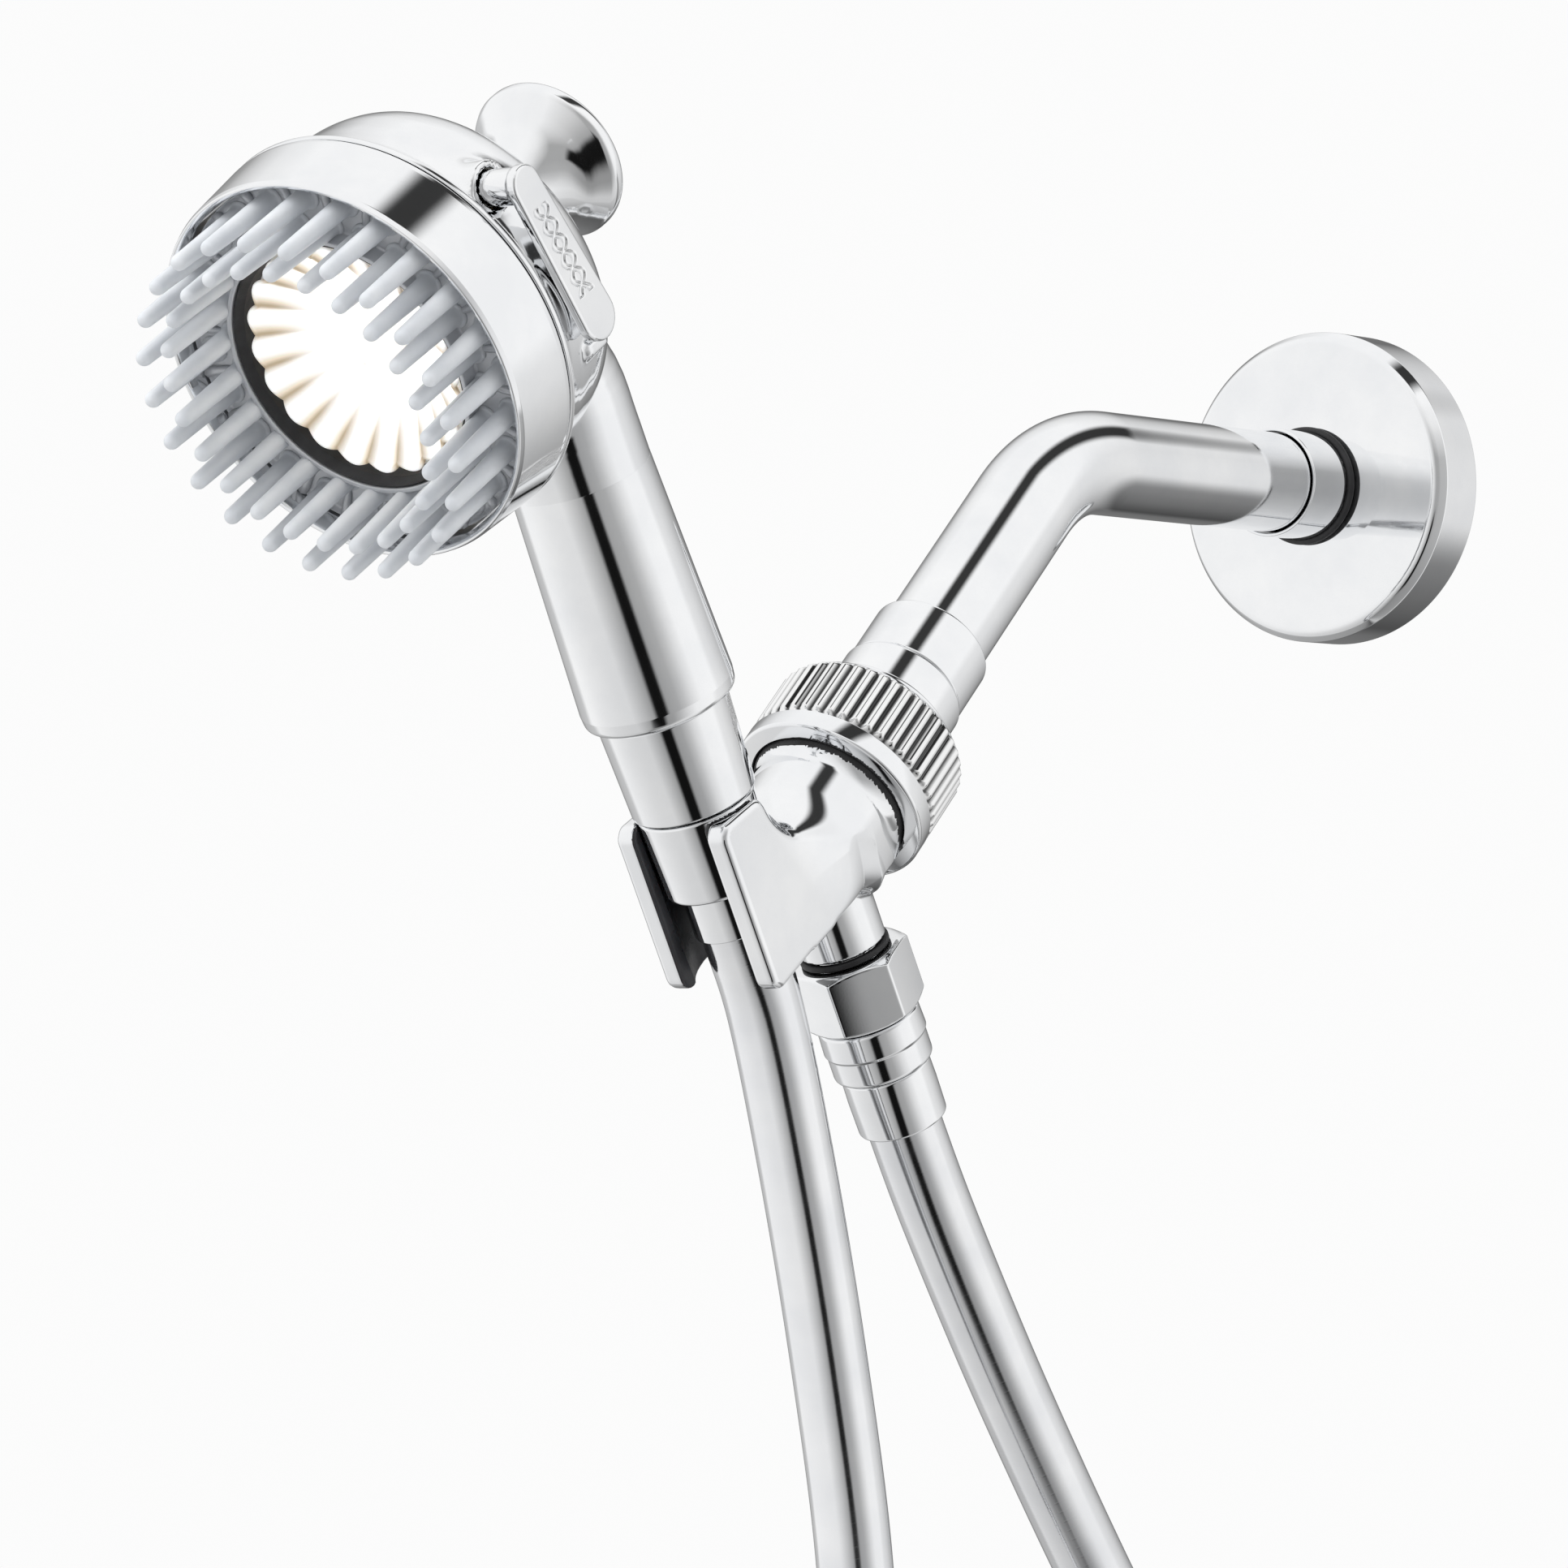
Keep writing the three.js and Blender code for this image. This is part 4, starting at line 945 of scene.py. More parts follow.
def make_collar_nut():
    radius, start, ribs_to, end = (NUT[k] for k in ("radius", "start", "ribs_to", "end"))
    socket = BALL["radius"] + 0.3
    valley = radius - NUT["rib_depth"]
    profile = [
        (socket, start, 0),
        (valley - 0.4, start, 0),
        (valley, start + 0.5, 0),
        (radius - 0.5, start + 1.2, 0.4),
        (radius, start + 1.9, 1),
        (radius, ribs_to - 1.5, 1),
        (radius - 0.5, ribs_to - 0.9, 0.4),
        (valley, ribs_to - 0.5, 0),
        (valley, ribs_to, 0),
        (radius - 0.5, ribs_to + 0.1, 0),
        (radius, ribs_to + 0.5, 0),
    ]
    profile += [(r, s, 0) for r, s in arc(radius - 0.7, end - 0.7, 0.7, 0, 90, 6)]
    profile += [(NUT["lip"] + 0.3, end, 0), (NUT["lip"], end - 0.3, 0)]
    profile += [(r, s, 0) for r, s in arc(0, BALL["at"], socket, 20, 0, 8)]
    nut = turned("collar_nut_ribbed", SLOPE_AXIS, profile, sides=NUT["ribs"] * 10, wave=rib_wave)
    nut.data.materials.append(METAL)
    stands_for(nut, "collar_nut", extra=[ribbed_chrome_painted_shade(), SLOT_MATERIALS["black_rubber"]])
    middles, normals = face_middles(nut, SLOPE_AXIS)
    radii = np.hypot(middles[:, 0], middles[:, 2])
    outward = (middles[:, 0] * normals[:, 0] + middles[:, 2] * normals[:, 2]) / radii
    # faces on the ribs take the rib plating with painted shade in its valleys
    ribbed = (middles[:, 1] > start + 1.2) & (middles[:, 1] < ribs_to - 0.6) & (outward > 0.3)
    inside = (outward < -0.2) & (radii < socket + 0.1)
    paint_faces(nut, np.where(inside, 2, np.where(ribbed, 1, 0)))


# ---------------------------------------------------------------- holder


def cradle_outline():
    """The cradle block seen from its side: (away from the slot, down the handle)."""
    top, bottom, front, corner = CRADLE["top"], CRADLE["bottom"], -10.5, 2
    corners = [
        (front, top + corner),
        (front + corner, top),
        (3, top),
        (8, -11),
        (12, -4),
        (12, 12.8),
        (front + corner, bottom),
        (front, bottom - corner),
    ]
    return rounded(corners, 2.5, 4)


def plates_and_neck(x, s, w, along, across):
    """Plates and neck from one side view, whose edges go from crisp at the plates to fully round."""
    too_low = s - NECK_BAR["lowest"] - NECK_BAR["drop"] * np.maximum(w - NECK_BAR["drops_past"], 0)
    bar = np.maximum(np.abs(across) - NECK_BAR["radius"], np.maximum(along - NECK_BAR["end"], too_low))
    side_view = either(outline_distance(w, s, cradle_outline()), bar, 3)
    share = np.clip((w - ROUNDING["slant"] * s - ROUNDING["start"]) / ROUNDING["span"], 0, 1)
    share *= 1 - ROUNDING["low_loss"] * np.clip((s - ROUNDING["low_from"]) / ROUNDING["low_span"], 0, 1)
    share = share * share * (3 - 2 * share)
    edge = ROUNDING["least"] + (NECK_BAR["radius"] - ROUNDING["least"]) * share
    half_width = CRADLE["half_width"] + (NECK_BAR["radius"] - CRADLE["half_width"]) * share
    body = overlap(side_view, np.abs(x) - half_width, edge)
    return both(body, BALL["at"] - along, 0.5)


def fold_dimple(x, s, w):
    """The slanting dimple where each plate's top edge runs into the neck."""
    lean = math.radians(FOLD["lean_deg"])
    down, aside = s - FOLD["down"], w - FOLD["away"]
    lengthwise = (down * math.cos(lean) + aside * math.sin(lean)) * FOLD["stretch"]
    sideways = (aside * math.cos(lean) - down * math.sin(lean)) * FOLD["squeeze"]
    outward = np.abs(x) - CRADLE["half_width"] - FOLD["outside"]
    return length(np.stack([outward, lengthwise, sideways], -1)) - FOLD["radius"]


def bracket_field(points):
    """Distance to the holder's casting in the handle's frame: cradle, neck, ball and outlet."""
    x, s, w = points[..., 0], points[..., 1], points[..., 2]
    on_slope = SLOPE_AXIS.local(HANDLE_AXIS.place(points))
    along, across = on_slope[..., 1], on_slope[..., 2]
    body = plates_and_neck(x, s, w, along, across)
    ball = length(on_slope - np.array([0, BALL["at"], 0])) - BALL["radius"]
    ball = both(ball, BALL["cut_at"] - along, 0.6)
    body = either(body, ball, 0.8)
    at_outlet = points - np.array([0, 0, OUTLET["behind"]])
    shoulder = column(at_outlet, OUTLET["radius"], 0, OUTLET["shoulder_at"], 0.6)
    body = either(body, shoulder, 1.5)
    ridges = OUTLET["ridge"] * (np.cos(2 * math.pi * s / THREAD["pitch"]) - 1)
    thread = column(at_outlet, OUTLET["thread"] + ridges, OUTLET["shoulder_at"] - 1, OUTLET["end_at"])
    body = either(body, thread, 0.3)
    height = (s - CRADLE["top"]) / (CRADLE["bottom"] - CRADLE["top"])
    bore_radius = CRADLE["bore_top"] + height * (CRADLE["bore_bottom"] - CRADLE["bore_top"])
    slot = np.maximum(np.abs(x) - CRADLE["slot"], w)
    body = without(body, np.minimum(np.hypot(x, w) - bore_radius, slot), 0.9)
    inlet = column(on_slope, BALL["bore"], BALL["cut_at"] - 5, BALL["at"] + 19)
    drop = column(at_outlet, OUTLET["bore"], -2, OUTLET["end_at"] + 5)
    body = without(body, np.minimum(inlet, drop), 0.5)
    return without(body, fold_dimple(x, s, w), 1.2)


def face_middles(piece, axis):
    """Every face's middle and normal in an axis's local millimetres."""
    count = len(piece.data.polygons)
    middles = np.empty(count * 3)
    normals = np.empty(count * 3)
    piece.data.polygons.foreach_get("center", middles)
    piece.data.polygons.foreach_get("normal", normals)
    return axis.local(middles.reshape(-1, 3) / MM), normals.reshape(-1, 3) @ axis.rows.T


def paint_faces(piece, slots):
    """Gives each face its material slot from an array of slot numbers."""
    piece.data.polygons.foreach_set("material_index", np.asarray(slots, np.int32))


def make_holder():
    low, high = (-18, -48, -12.5), (18, 34.5, 50)  # corners of the box that is carved
    bracket = carved("bracket_casting", HANDLE_AXIS, bracket_field, low, high, 0.5)
    stands_for(bracket, "bracket_body", extra=[SLOT_MATERIALS["black_rubber"], CRADLE_PAINTED_SHADE])
    middles, normals = face_middles(bracket, HANDLE_AXIS)
    x, s, w = middles.T
    facing_in = -np.sign(x) * normals[:, 0] > 0.45
    # faces inside the slot take the near-black material, painted shade
    painted_shade_faces = facing_in & (np.abs(x) < CRADLE["bore_top"] + 0.3) & (w < CRADLE["bore_top"])
    painted_shade_faces &= (s > CRADLE["top"]) & (s < CRADLE["bottom"])
    on_ball = SLOPE_AXIS.local(HANDLE_AXIS.place(middles))[:, 1] < BALL["bare_to"]
    paint_faces(bracket, np.where(on_ball, 1, np.where(painted_shade_faces, 2, 0)))


def make_hose_fittings():
    """Washer, hex nut and the two ferrules below the outlet, all about its axis."""
    washer = tube_profile(WASHER["inner"], WASHER["outer"], WASHER["start"], WASHER["end"])
    stands_for(turned("outlet_washer_ring", OUTLET_AXIS, rounded(washer, 0.3)), "outlet_washer")
    make_hex_nut()
    bore, mouth, step, radius, start, step_at, end = UPPER_FERRULE.values()
    upper = [(bore, start), (mouth, start, 0.8), (step, step_at, 0.4), (radius, step_at + 0.6, 0.3)]
    upper += [(radius, end, 0.9), (bore, end)]
    stands_for(turned("ferrule_upper_cup", OUTLET_AXIS, rounded(upper, 0.2)), "ferrule_upper")
    bore, mouth, radius, start, middle, end = LOWER_FERRULE.values()
    lower = [(bore, start), (mouth, start, 0.5), (radius, middle, 0.5), (mouth, end, 0.6), (bore, end)]
    stands_for(turned("ferrule_lower_cup", OUTLET_AXIS, rounded(lower, 0.2)), "ferrule_lower")


def hex_field(points):
    """Six slightly crowned faces, chamfered at both ends, with a stepped bore."""
    x, s, z = points[..., 0], points[..., 1], points[..., 2]
    flat = HEX["corner"] * math.cos(math.pi / 6)
    body = None
    for k in range(6):
        angle = math.radians(60 * k + 30 - HEX["turn_deg"])
        out = x * math.cos(angle) + z * math.sin(angle)
        beside = z * math.cos(angle) - x * math.sin(angle)
        side = np.hypot(out + HEX["crown"] - flat, beside) - HEX["crown"]
        body = side if body is None else both(body, side, 0.35)
    past_end = past_ends(s, HEX["start"], HEX["end"])
    body = both(body, past_end, 0.3)
    radius = np.hypot(x, z)
    chamfer = (radius - HEX["corner"] + 2.2 + 1.9 * past_end) * 0.47
    body = both(body, chamfer, 0.3)
    inside = np.where(s < HEX["lip_at"], HEX["thread"], HEX["lip"])
    return without(body, radius - inside, 0.3)


def make_hex_nut():
    low, high = (-13.2, HEX["start"] - 0.8, -13.2), (13.2, HEX["end"] + 0.8, 13.2)
    stands_for(carved("hex_nut_body", OUTLET_AXIS, hex_field, low, high, 0.3), "hex_nut")


# ---------------------------------------------------------------- handle


def make_handle():
    top, bottom, start, end = (CONE[k] for k in ("top", "bottom", "start", "end"))
    lip, counterbore, lip_depth = 6.9, 9.5, 3.9
    cone = [(counterbore, start, 0.2), (top, start, 0.6), (bottom, end, 1.0), (lip, end, 0.3)]
    cone += [(lip, end - lip_depth, 0.1), (counterbore, end - lip_depth, 0.1)]
    stands_for(turned("cone_nut_body", HANDLE_AXIS, rounded(cone)), "cone_nut")
    spigot_start = GRIP["end"] - COLLAR["spigot_length"]
    collar = [
        (COLLAR["bore"], spigot_start),
        (COLLAR["spigot"], spigot_start),
        (COLLAR["spigot"], GRIP["end"], 0.1),
        (COLLAR["top"], GRIP["end"] + 0.4, 0.3),
        (COLLAR["bottom"], CONE["start"] - 0.6, 0.5),
        (COLLAR["seat"], CONE["start"] - 0.3, 0.1),
        (COLLAR["seat"], COLLAR["seat_at"]),
        (COLLAR["bore"], COLLAR["seat_at"]),
    ]
    stands_for(turned("handle_collar_body", HANDLE_AXIS, rounded(collar, 0.2)), "handle_collar")
    lower, upper, start, end, bore = (GRIP[k] for k in ("lower", "upper", "start", "end", "bore"))
    grip = [(bore, end, 0.3), (lower - 0.3, end, 1.4), (lower, end - 3, 1.5)]
    grip += [(upper + 0.03, start - 1, 0), (bore - 0.2, start - 1, 0)]  # laps over the neck's end
    stands_for(turned("grip_shell", HANDLE_AXIS, rounded(grip, steps=6)), "grip")
    bore, radius, start, end = HAND_FERRULE.values()
    ferrule = rounded(tube_profile(bore, radius, start, end), 0.3)
    stands_for(turned("hand_ferrule_cup", HANDLE_AXIS, ferrule), "hand_ferrule")


# ---------------------------------------------------------------- head shells


def make_band():
    radius, back_radius, band = HEAD["radius"], HEAD["back_radius"], HEAD["band"]
    inner = MAT["outer"] + 0.4
    profile = [
        (inner, band, 0.3),
        (inner, 2.2, 0.4),
        (inner + 0.35, 0.35, 0.7),
        (radius - 0.35, 0, 0.6),
        (radius + 0.05, 1.2, 0.8),
        (back_radius - 0.1, band - 1.2, 0.4),
        (back_radius - 0.1, band, 0.5),
    ]
    stands_for(turned("head_band_shell", HEAD_AXIS, rounded(profile, steps=6)), "head_band")
    inner, start, end = TRIM_RING.values()
    trim = [(inner, start), (back_radius - 0.1, start, 0.4), (back_radius, start + 0.9, 0.5)]
    trim += [(back_radius - 1, end, 0.8), (inner, end)]
    stands_for(turned("trim_ring_band", HEAD_AXIS, rounded(trim, 0.2)), "trim_ring")


def dome_outline():
    """The dome behind the face as a closed outline of (radius, behind), mirrored across its axis."""
    known = [
        (HOUSING["rim"], HOUSING["front"]),
        (36.5, 19),
        (36, 22),
        (35.5, 27),
        (34.8, 32),
        (33.1, 36.3),
        (29.5, 40.1),
        (23, 43.3),
        (14, 45.2),
        (5, 45.9),
        (0, HOUSING["back"]),
    ]
    curve = smooth_path([(r, d, 0) for r, d in known], 1.0)[:, :2]
    right = [tuple(point) for point in curve]
    return right + [(-r, d) for r, d in reversed(right[:-1])]


class Table:
    """A function of two values kept on a fine grid, so that it is quick to look up."""

    def __init__(self, function, low, high, step):
        self.low = np.array(low, float)
        self.step = step
        u = np.arange(low[0], high[0] + step, step)
        v = np.arange(low[1], high[1] + step, step)
        self.values = function(*np.meshgrid(u, v, indexing="ij"))

    def __call__(self, u, v):
        i = np.clip((u - self.low[0]) / self.step, 0, self.values.shape[0] - 1.001)
        j = np.clip((v - self.low[1]) / self.step, 0, self.values.shape[1] - 1.001)
        i0 = i.astype(int)
        j0 = j.astype(int)
        a, b = i - i0, j - j0
        low = self.values[i0, j0] * (1 - b) + self.values[i0, j0 + 1] * b
        high = self.values[i0 + 1, j0] * (1 - b) + self.values[i0 + 1, j0 + 1] * b
        return low * (1 - a) + high * a


DOME = Table(lambda u, v: outline_distance(u, v, dome_outline()), (0, 8), (60, 62), 0.15)


def on_handle(along):
    """A place on the handle's axis as (above, behind) in the head's frame."""
    point = HEAD_AXIS.local(HANDLE_AXIS.place((0, along, 0)))
    return point[2], point[1]


def neck_stations():
    """The neck from the top of the grip into the dome, as rows of (above, behind, radius)."""
    known = [
        (*on_handle(GRIP["start"] - 0.3), GRIP["upper"]),
        (*on_handle(GRIP["start"] - 9), GRIP["upper"]),
        (*on_handle(GRIP["start"] - 18), 13.4),
        (-21.5, 46, 12.7),
        (-14, 40, 12),
        (-6, 31, 11.5),
    ]
    return smooth_path(known, 2.5)


NECK = neck_stations()


def neck_distance(points, inset=0.0):
    """Distance to a round bar that follows the neck's stations."""
    place = np.stack([points[..., 2], points[..., 1]], -1)
    best = np.full(points.shape[:-1], 1e9)
    for start, end in zip(NECK, NECK[1:]):
        run = end[:2] - start[:2]
        share = np.clip((place - start[:2]) @ run / (run @ run), 0, 1)
        gap = place - start[:2] - share[..., None] * run
        radius = start[2] + share * (end[2] - start[2]) - inset
        distance = np.sqrt((gap**2).sum(-1) + points[..., 0] ** 2) - radius
        best = np.minimum(best, distance)
    return best


def at_lever_hub(points):
    """Points of the head's frame about the lever's hub, with local Y along its spindle."""
    x, behind, above = points[..., 0], points[..., 1], points[..., 2]
    return np.stack([behind - LEVER["behind"], x, above - LEVER["above"]], -1)


def housing_field(points):
    """Distance to the head's back shell in the head's frame."""
    x, behind, above = points[..., 0], points[..., 1], points[..., 2]
    to_dome = DOME(np.hypot(x, above), behind)
    dome = np.maximum(to_dome, HOUSING["front"] - behind)
    neck = neck_distance(points)
    on_grip = HANDLE_AXIS.local(HEAD_AXIS.place(points))
    ends = on_grip[..., 1] - (GRIP["start"] - 0.3)
    neck = both(neck, ends, 0.04)
    body = either(dome, neck, 5)
    at_knob = points - np.array([0, 0, KNOB["above"]])
    body = either(body, column(at_knob, BOSS["radius"], BOSS["start"], BOSS["end"], 0.6), 1.6)
    hub = at_lever_hub(points)
    body = either(body, column(hub, HUB["radius"], HUB["start"], HUB["end"], 0.6), 1.8)
    off_lug = np.stack([x - LUG["aside"], behind - LUG["behind"], above - LUG["above"]], -1)
    lug = np.abs(off_lug) - np.array(LUG["half"]) + LUG["corner"]
    lug = length(np.maximum(lug, 0)) + np.minimum(lug.max(-1), 0) - LUG["corner"]
    body = either(body, lug, 1.6)
    wall = HOUSING["wall"]
    body = without(body, np.minimum(to_dome + wall, neck_distance(points, wall)), 0.5)
    knob_bore = column(at_knob, BOSS["bore"], HOUSING["back"], HOUSING["back"] + 14, 0.2)
    spindle_bore = column(hub, HUB["bore"], HUB["start"] + 5, HUB["start"] + 20, 0.2)
    return without(body, np.minimum(knob_bore, spindle_bore), 0.3)


def make_housing():
    low, high = (-38.5, HOUSING["front"] - 1, -50), (38.5, 64, 38.5)
    housing = carved("head_housing_shell", HEAD_AXIS, housing_field, low, high, 0.65)
    stands_for(housing, "head_housing")


# ---------------------------------------------------------------- spray face


def nozzle_rings(radius, angle):
    """One nozzle as rings in the head's frame: foot, taper and round tip."""
    base, tip, span, front = NOZZLE["base"], NOZZLE["tip"], NOZZLE["length"], MAT["front"]
    profile = [(base + 0.7, -0.3), (base + 0.65, 0.3), (base + 0.35, 0.6), (base + 0.08, 0.85), (base, 1.6)]
    profile += [(base + (tip - base) * k / 6, 1.6 + (span - 3.1) * k / 6) for k in range(1, 7)]
    profile += [(r, span - tip + h) for r, h in arc(0, 0, tip, 8, 84, 9)]
    rings = turned_mesh(profile, 24)
    rings[..., 1] = front - rings[..., 1]
    splay = math.radians(NOZZLE["splay_deg"])
    lean = (front - rings[..., 1]) * math.tan(splay)
    rings[..., 0] += radius + lean
    return rings @ turn_about_axis(angle)


def make_nozzle_mat():
    pieces = []
    step = 2 * math.pi / NOZZLE["per_ring"]
    for number, radius in enumerate(NOZZLE["rings"]):
        for k in range(NOZZLE["per_ring"]):
            rings = nozzle_rings(radius, (k + number / 2) * step)
            pieces.append(skinned("nozzle", rings, closed=False, axis=HEAD_AXIS))
    for piece in pieces:
        piece.data.materials.append(SLOT_MATERIALS["grey_silicone"])
    inner, outer, front, back = (MAT[k] for k in ("inner", "outer", "front", "back"))
    lip, lip_front = MAT["lip"], MAT["lip_front"]
    profile = [(inner, back), (inner, lip_front), (inner + lip, lip_front), (inner + lip + 0.4, front, 0.6)]
    profile += [(outer - 0.8, front, 0.8), (outer, front - 1.2, 0.3), (outer, back)]
    sheet = skinned("sheet", turned_mesh(rounded(profile, 0.3)), True, HEAD_AXIS)
    ribs = [make_face_rib(k * step) for k in range(NOZZLE["per_ring"])]
    grey = face_grey()
    for piece in [sheet, *ribs]:
        piece.data.materials.append(grey)
    mat = joined("nozzle_face", pieces + [sheet, *ribs])
    stands_for(soften(mat), "nozzle_mat")


def make_face_rib(angle):
    """A low radial rib between the outer nozzles and the rim."""
    stations = [(28.8, 0.5, 0.25), (31, 0.8, 0.8), (34, 0.9, 1.2), (35.9, 1.1, 1.6)]
    rings = []
    for radius, half, height in stations:
        shoulder = (half * 0.8, -height * 0.7)
        section = [(-half, 0.2), (-shoulder[0], shoulder[1]), (0, -height), shoulder, (half, 0.2)]
        rings.append([(radius, MAT["front"] + d, across) for across, d in section])
    rings = np.array(rings) @ turn_about_axis(angle)
    return skinned("rib", rings, closed=False, axis=HEAD_AXIS)


def flute_wave(angles):
    return CUP["flute"] * (1 - np.abs(np.sin(CUP["flutes"] / 2 * angles)))


def make_cup():
    mouth, floor, front, back, wall = (CUP[k] for k in ("mouth", "floor", "front", "back", "wall"))
    hole = 3
    outer = [(hole, back, 0), (floor - 1, back, 0), (floor, back - 0.8, 1)]
    rim = [(mouth, front + 0.4, 1), (mouth - 0.2, front, 1), (mouth - wall + 0.3, front, 1)]
    rim += [(mouth - wall, front + 0.5, 1)]
    inner = [(floor - wall + 0.1, back - wall - 1.4, 1), (floor - wall - 1.2, back - wall, 0)]
    inner += [(hole, back - wall, 0)]
    cup = turned("fluted_cup_body", HEAD_AXIS, outer + rim + inner, sides=CUP["flutes"] * 16, wave=flute_wave)
    cup.data.materials.append(fluted_cream_painted_shade_glow())
    stands_for(cup, "fluted_cup")
    make_centre_seal()
    make_core_pin(back - wall - 0.3)


def make_centre_seal():
    inner, outer, front, shoulder, back = SEAL.values()
    seal = [(inner, back), (inner, shoulder, 0.3), (outer - 0.5, front + 0.8, 0.5), (outer, front, 0.2)]
    seal += [(outer, back)]
    stands_for(turned("centre_seal_ring", HEAD_AXIS, rounded(seal, 0.2)), "centre_seal")


def make_core_pin(back):
    tip, radius, base, front = CORE_PIN.values()
    core = [(0, front), (tip, front, 0.8), (radius, front + 1, 0.5), (radius, back - 2, 1)]
    core += [(base, back - 1.4, 0.4), (base, back, 0.3), (0, back)]
    core = turned("diffuser_core_pin", HEAD_AXIS, rounded(core, 0.2, closed=False), sides=SMALL_SIDES)
    # the core's emission is a painted glow
    white = moulded("core_white_painted_glow", (0.93, 0.92, 0.90), (0.96, 0.955, 0.94), 0.3, 0.45, painted_glow=0.45)
    core.data.materials.append(white)
    stands_for(core, "diffuser_core")


# ---------------------------------------------------------------- lever and knob


def lever_outline():
    """A long paddle with round ends, as (behind, above)."""
    behind, above = LEVER["behind"], LEVER["above"]
    tip_behind, tip_above = LEVER["tip_behind"], LEVER["tip_above"]
    square = math.degrees(math.atan2(tip_above - above, tip_behind - behind))
    hub_end = arc(behind, above, LEVER["hub_end"], square + 90, square + 270, 16)
    tip_end = arc(tip_behind, tip_above, LEVER["tip_end"], square - 90, square + 90, 16)
    return hub_end + tip_end


def outline_side(behind, above):
    """How far a place lies behind the line from the lever's hub to its tip."""
    share = (LEVER["above"] - above) / (LEVER["above"] - LEVER["tip_above"])
    return behind - LEVER["behind"] - share * (LEVER["tip_behind"] - LEVER["behind"])


def braid_groove(outward, behind, above):
    """Two crossing waves cut into the paddle's outer face."""
    along = LEVER["above"] - above
    side = outline_side(behind, above)
    swing = BRAID["swing"] * np.sin(2 * math.pi * along / BRAID["pitch"])
    weave = np.minimum(np.abs(side - swing), np.abs(side + swing)) * BRAID["flatten"]
    groove = np.hypot(weave, outward) - BRAID["radius"]
    return np.maximum(groove, np.abs(along - BRAID["centre"]) - BRAID["half_length"])


def lever_field(points):
    """Distance to the paddle and its spindle in the head's frame."""
    x, behind, above = points[..., 0], points[..., 1], points[..., 2]
    outline = outline_distance(behind, above, lever_outline())
    half = LEVER["thick"] / 2
    outer_face = LEVER["plate_at"] + LEVER["thick"]
    paddle = both(outline, np.abs(x - outer_face + half) - half, 0.7)
    paddle = without(paddle, braid_groove(x - outer_face, behind, above), 0.2)
    spindle = column(at_lever_hub(points), HUB["spindle"], 25.3, LEVER["plate_at"] + 0.6, 0.3)
    return either(paddle, spindle, 0.6)


def make_lever():
    low, high = (24.5, 17.5, -12), (39, 33.5, 27.5)
    stands_for(carved("lever_paddle", HEAD_AXIS, lever_field, low, high, 0.25), "lever")


def make_knob():
    radius, start, end, stem = (KNOB[k] for k in ("radius", "start", "end", "stem"))
    socket = stem + 0.3
    flank = smooth_path(
        [
            (radius - 0.8, end - 4.4, 0),
            (radius - 2.8, end - 6.2, 0),
            (radius - 5.4, end - 8.6, 0),
            (8, end - 12, 0),
            (6.4, end - 15.5, 0),
            (5.6, end - 18.5, 0),
        ],
        0.8,
    )
    profile = [(0, end), (7, end - 0.12), (12, end - 0.5)]
    profile += arc(radius - 1.6, end - 2.3, 1.6, 80, 0, 8)
    profile += [(radius, end - 3.3), (radius - 0.25, end - 3.9)]
    profile += [(r, d) for r, d, _ in flank]
    profile += [(5.6, start + 0.3), (5.3, start), (socket, start), (socket, start + 6), (0, start + 6)]
    stands_for(turned("knob_button", KNOB_AXIS, profile), "knob")


# ---------------------------------------------------------------- pieces kept from the frame


def paint_frame():
    """Every CAD node that still shows gets its slot's material."""
    for name, node in frame["nodes"].items():
        if not node.hide_render:
            node.data.materials.clear()
            node.data.materials.append(SLOT_MATERIALS[SLOT_OF[name]])


# ---------------------------------------------------------------- studio

FLOOR = dict(z=-640, y=-180, radius=1600, sides=96)
BACKDROP = 0.97
AIM = (0, -0.25, -0.05)
LIGHTS = [
    dict(name="key", place=(-0.5, -1.2, 1.1), size=0.9, power=14),
    dict(name="fill", place=(1.4, -0.9, 0.5), size=1.2, power=6),
]

# Brightness round the camera's line of sight, from -180 to 180 degrees: 0 is towards the camera and
# positive is to its right.
AROUND = [
    (-180, 0.2),
    (-170, 0.28),
    (-157, 0.5),
    (-137, 0.62),
    (-128, 1.0),
    (-40, 0.95),
    (-28, 0.8),
    (-14, 0.62),
    (1, 0.4),
    (25, 0.4),
    (38, 0.45),
    (48, 0.6),
    (58, 0.8),
    (70, 0.98),
    (95, 1.0),
    (103, 0.85),
    (112, 0.8),
    (125, 0.68),
    (136, 0.55),
    (148, 0.42),
    (158, 0.3),
    (168, 0.16),
    (180, 0.2),
]
# Brightness from straight down to straight up, and how far the bright ceiling hides the ring of AROUND.
UPWARD = [(-90, 0.55), (-50, 0.75), (-25, 0.95), (0, 1.0), (90, 1.0)]
CEILING = [(-90, 0.0), (18, 0.0), (38, 0.75), (55, 1.0), (90, 1.0)]
# Long dark cards: the middle and one end of each as (around, upward), half its width and its soft edge,
# all in degrees, and how much light it leaves.
CARDS = [
    dict(middle=(12, -36), end=(12, -60), half_width=8, soft=3, leaves=0.02),
    dict(middle=(100, 63), end=(130, 31), half_width=9, soft=4.5, leaves=0.04),
    dict(middle=(130, -32), end=(168, -30), half_width=9, soft=7, leaves=0.35),
]


def angle_ramp(nodes, degrees, low, high, stops):
    span = high - low
    places = [((place - low) / span, value / 2) for place, value in stops]
    return nodes.ramp(nodes.between(degrees, low, high), places)


def toward(around_deg, upward_deg):
    """A direction given about the camera's line of sight, in the row frame."""
    right, up, back = camera_axes()
    around, upward = math.radians(around_deg), math.radians(upward_deg)
    level = math.sin(around) * right + math.cos(around) * back
    return math.cos(upward) * level + math.sin(upward) * up


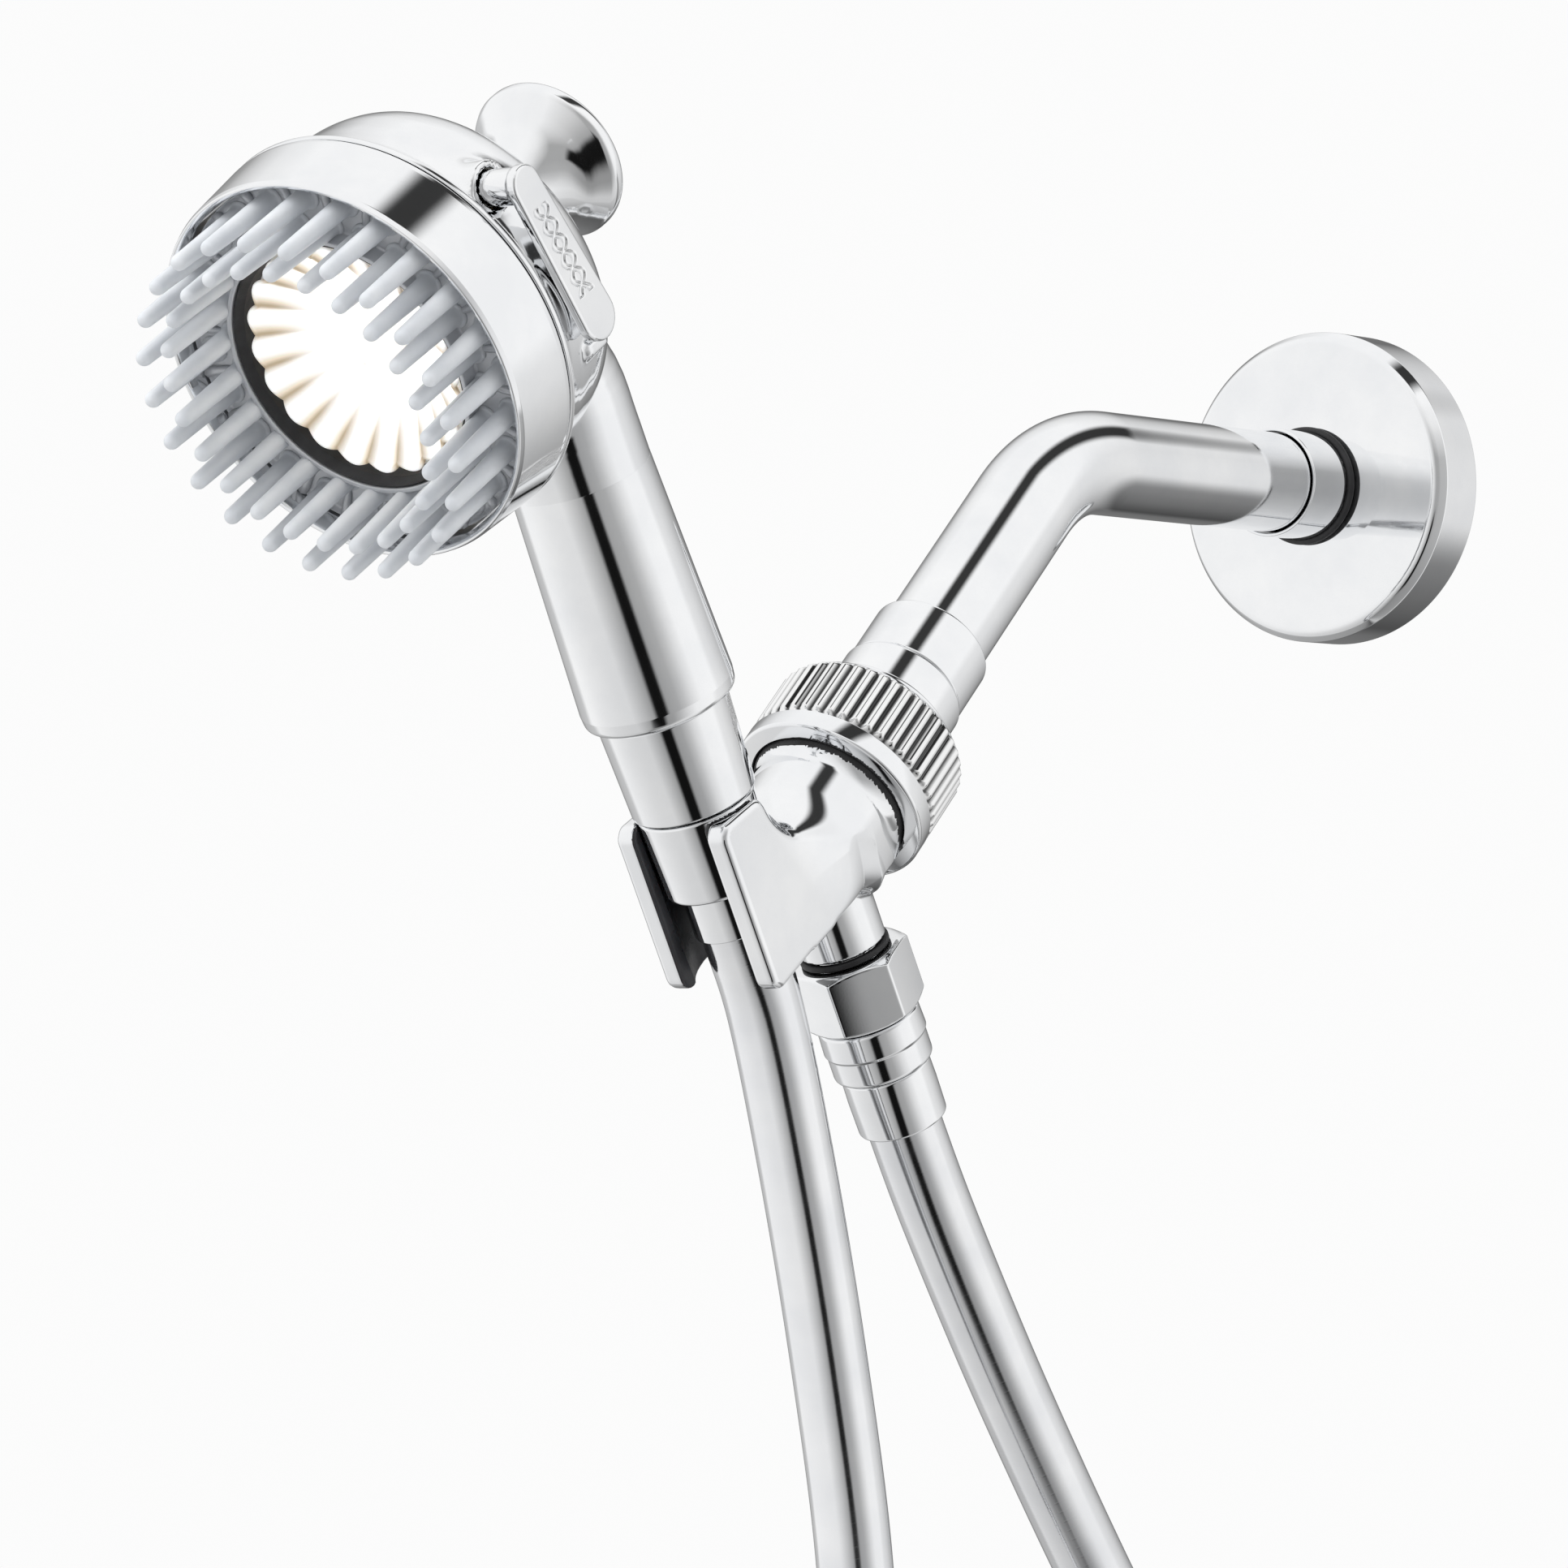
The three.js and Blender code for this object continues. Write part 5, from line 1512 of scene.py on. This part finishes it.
def card_shade(nodes, looking, middle, end, half_width, soft, leaves):
    """1 away from a long card and what it leaves on it, with soft edges."""
    middle = toward(*middle)
    end = toward(*end)
    across = middle.cross(end).normalized()
    reach = middle.dot(end)
    off = nodes.maths("ABSOLUTE", nodes.dot(looking, across))
    inner, outer = math.sin(math.radians(half_width - soft)), math.sin(math.radians(half_width + soft))
    beside = nodes.between(off, inner, outer, interpolation_type="SMOOTHSTEP")
    near = nodes.dot(looking, middle)
    past = nodes.between(near, reach + 0.04, reach - 0.04, interpolation_type="SMOOTHSTEP")
    return nodes.spread(nodes.maths("MAXIMUM", beside, past), leaves, 1.0)


def make_world():
    """A pale studio with dark cards, placed about the camera's line of sight."""
    world = bpy.data.worlds.new("studio")
    bpy.context.scene.world = world
    world.use_nodes = True
    tree = world.node_tree
    tree.nodes.clear()
    nodes = Nodes(tree)
    looking = nodes.add("ShaderNodeTexCoord").outputs["Generated"]
    right, up, back = (nodes.dot(looking, direction) for direction in camera_axes())
    around = nodes.maths("DEGREES", nodes.maths("ARCTAN2", right, back))
    upward = nodes.maths("DEGREES", nodes.maths("ARCSINE", up))
    ring = angle_ramp(nodes, around, -180, 180, AROUND)
    ceiling = angle_ramp(nodes, upward, -90, 90, CEILING)
    lift = {"Value": ceiling, "From Max": 0.5, "To Min": ring, "To Max": 0.5}
    level = nodes.add("ShaderNodeMapRange", lift).outputs[0]
    shades = [angle_ramp(nodes, upward, -90, 90, UPWARD)]
    shades += [card_shade(nodes, looking, **card) for card in CARDS]
    for shade in shades:
        level = nodes.maths("MULTIPLY", level, shade)
    studio = nodes.add("ShaderNodeBackground", {"Color": level, "Strength": 4.0})
    plain = nodes.add("ShaderNodeBackground", {"Color": (BACKDROP, BACKDROP, BACKDROP, 1), "Strength": 1.0})
    path = nodes.add("ShaderNodeLightPath").outputs["Is Camera Ray"]
    mix = nodes.add("ShaderNodeMixShader", {0: path})
    tree.links.new(studio.outputs[0], mix.inputs[1])
    tree.links.new(plain.outputs[0], mix.inputs[2])
    out = nodes.add("ShaderNodeOutputWorld")
    tree.links.new(mix.outputs[0], out.inputs["Surface"])


def make_light(name, place, size, power):
    data = bpy.data.lights.new(name, "AREA")
    data.energy = power
    data.size = size
    light = bpy.data.objects.new(name, data)
    light.location = place
    aim = Vector(AIM) - Vector(place)
    light.rotation_euler = aim.to_track_quat("-Z", "Y").to_euler()
    light.visible_camera = False
    light.visible_glossy = False
    bpy.context.scene.collection.objects.link(light)


def make_floor():
    radius, sides = FLOOR["radius"], FLOOR["sides"]
    angles = np.linspace(0, 2 * math.pi, sides, endpoint=False)
    x, y = radius * np.cos(angles), radius * np.sin(angles) + FLOOR["y"]
    floor = new_object("floor", np.stack([x, y, np.full(sides, FLOOR["z"])], 1), [tuple(range(sides))])
    floor.data.materials.append(floor_paint())
    floor.visible_glossy = False  # the plating mirrors the studio's cards instead


def make_studio():
    make_world()
    make_floor()
    for light in LIGHTS:
        make_light(**light)
    bpy.context.scene.view_settings.view_transform = "Standard"


# ---------------------------------------------------------------- the whole set

make_camera()
make_hose()
make_flange()
make_arm()
make_swivel()
make_collar_nut()
make_holder()
make_hose_fittings()
make_handle()
make_band()
make_housing()
make_nozzle_mat()
make_cup()
make_lever()
make_knob()
paint_frame()
make_studio()
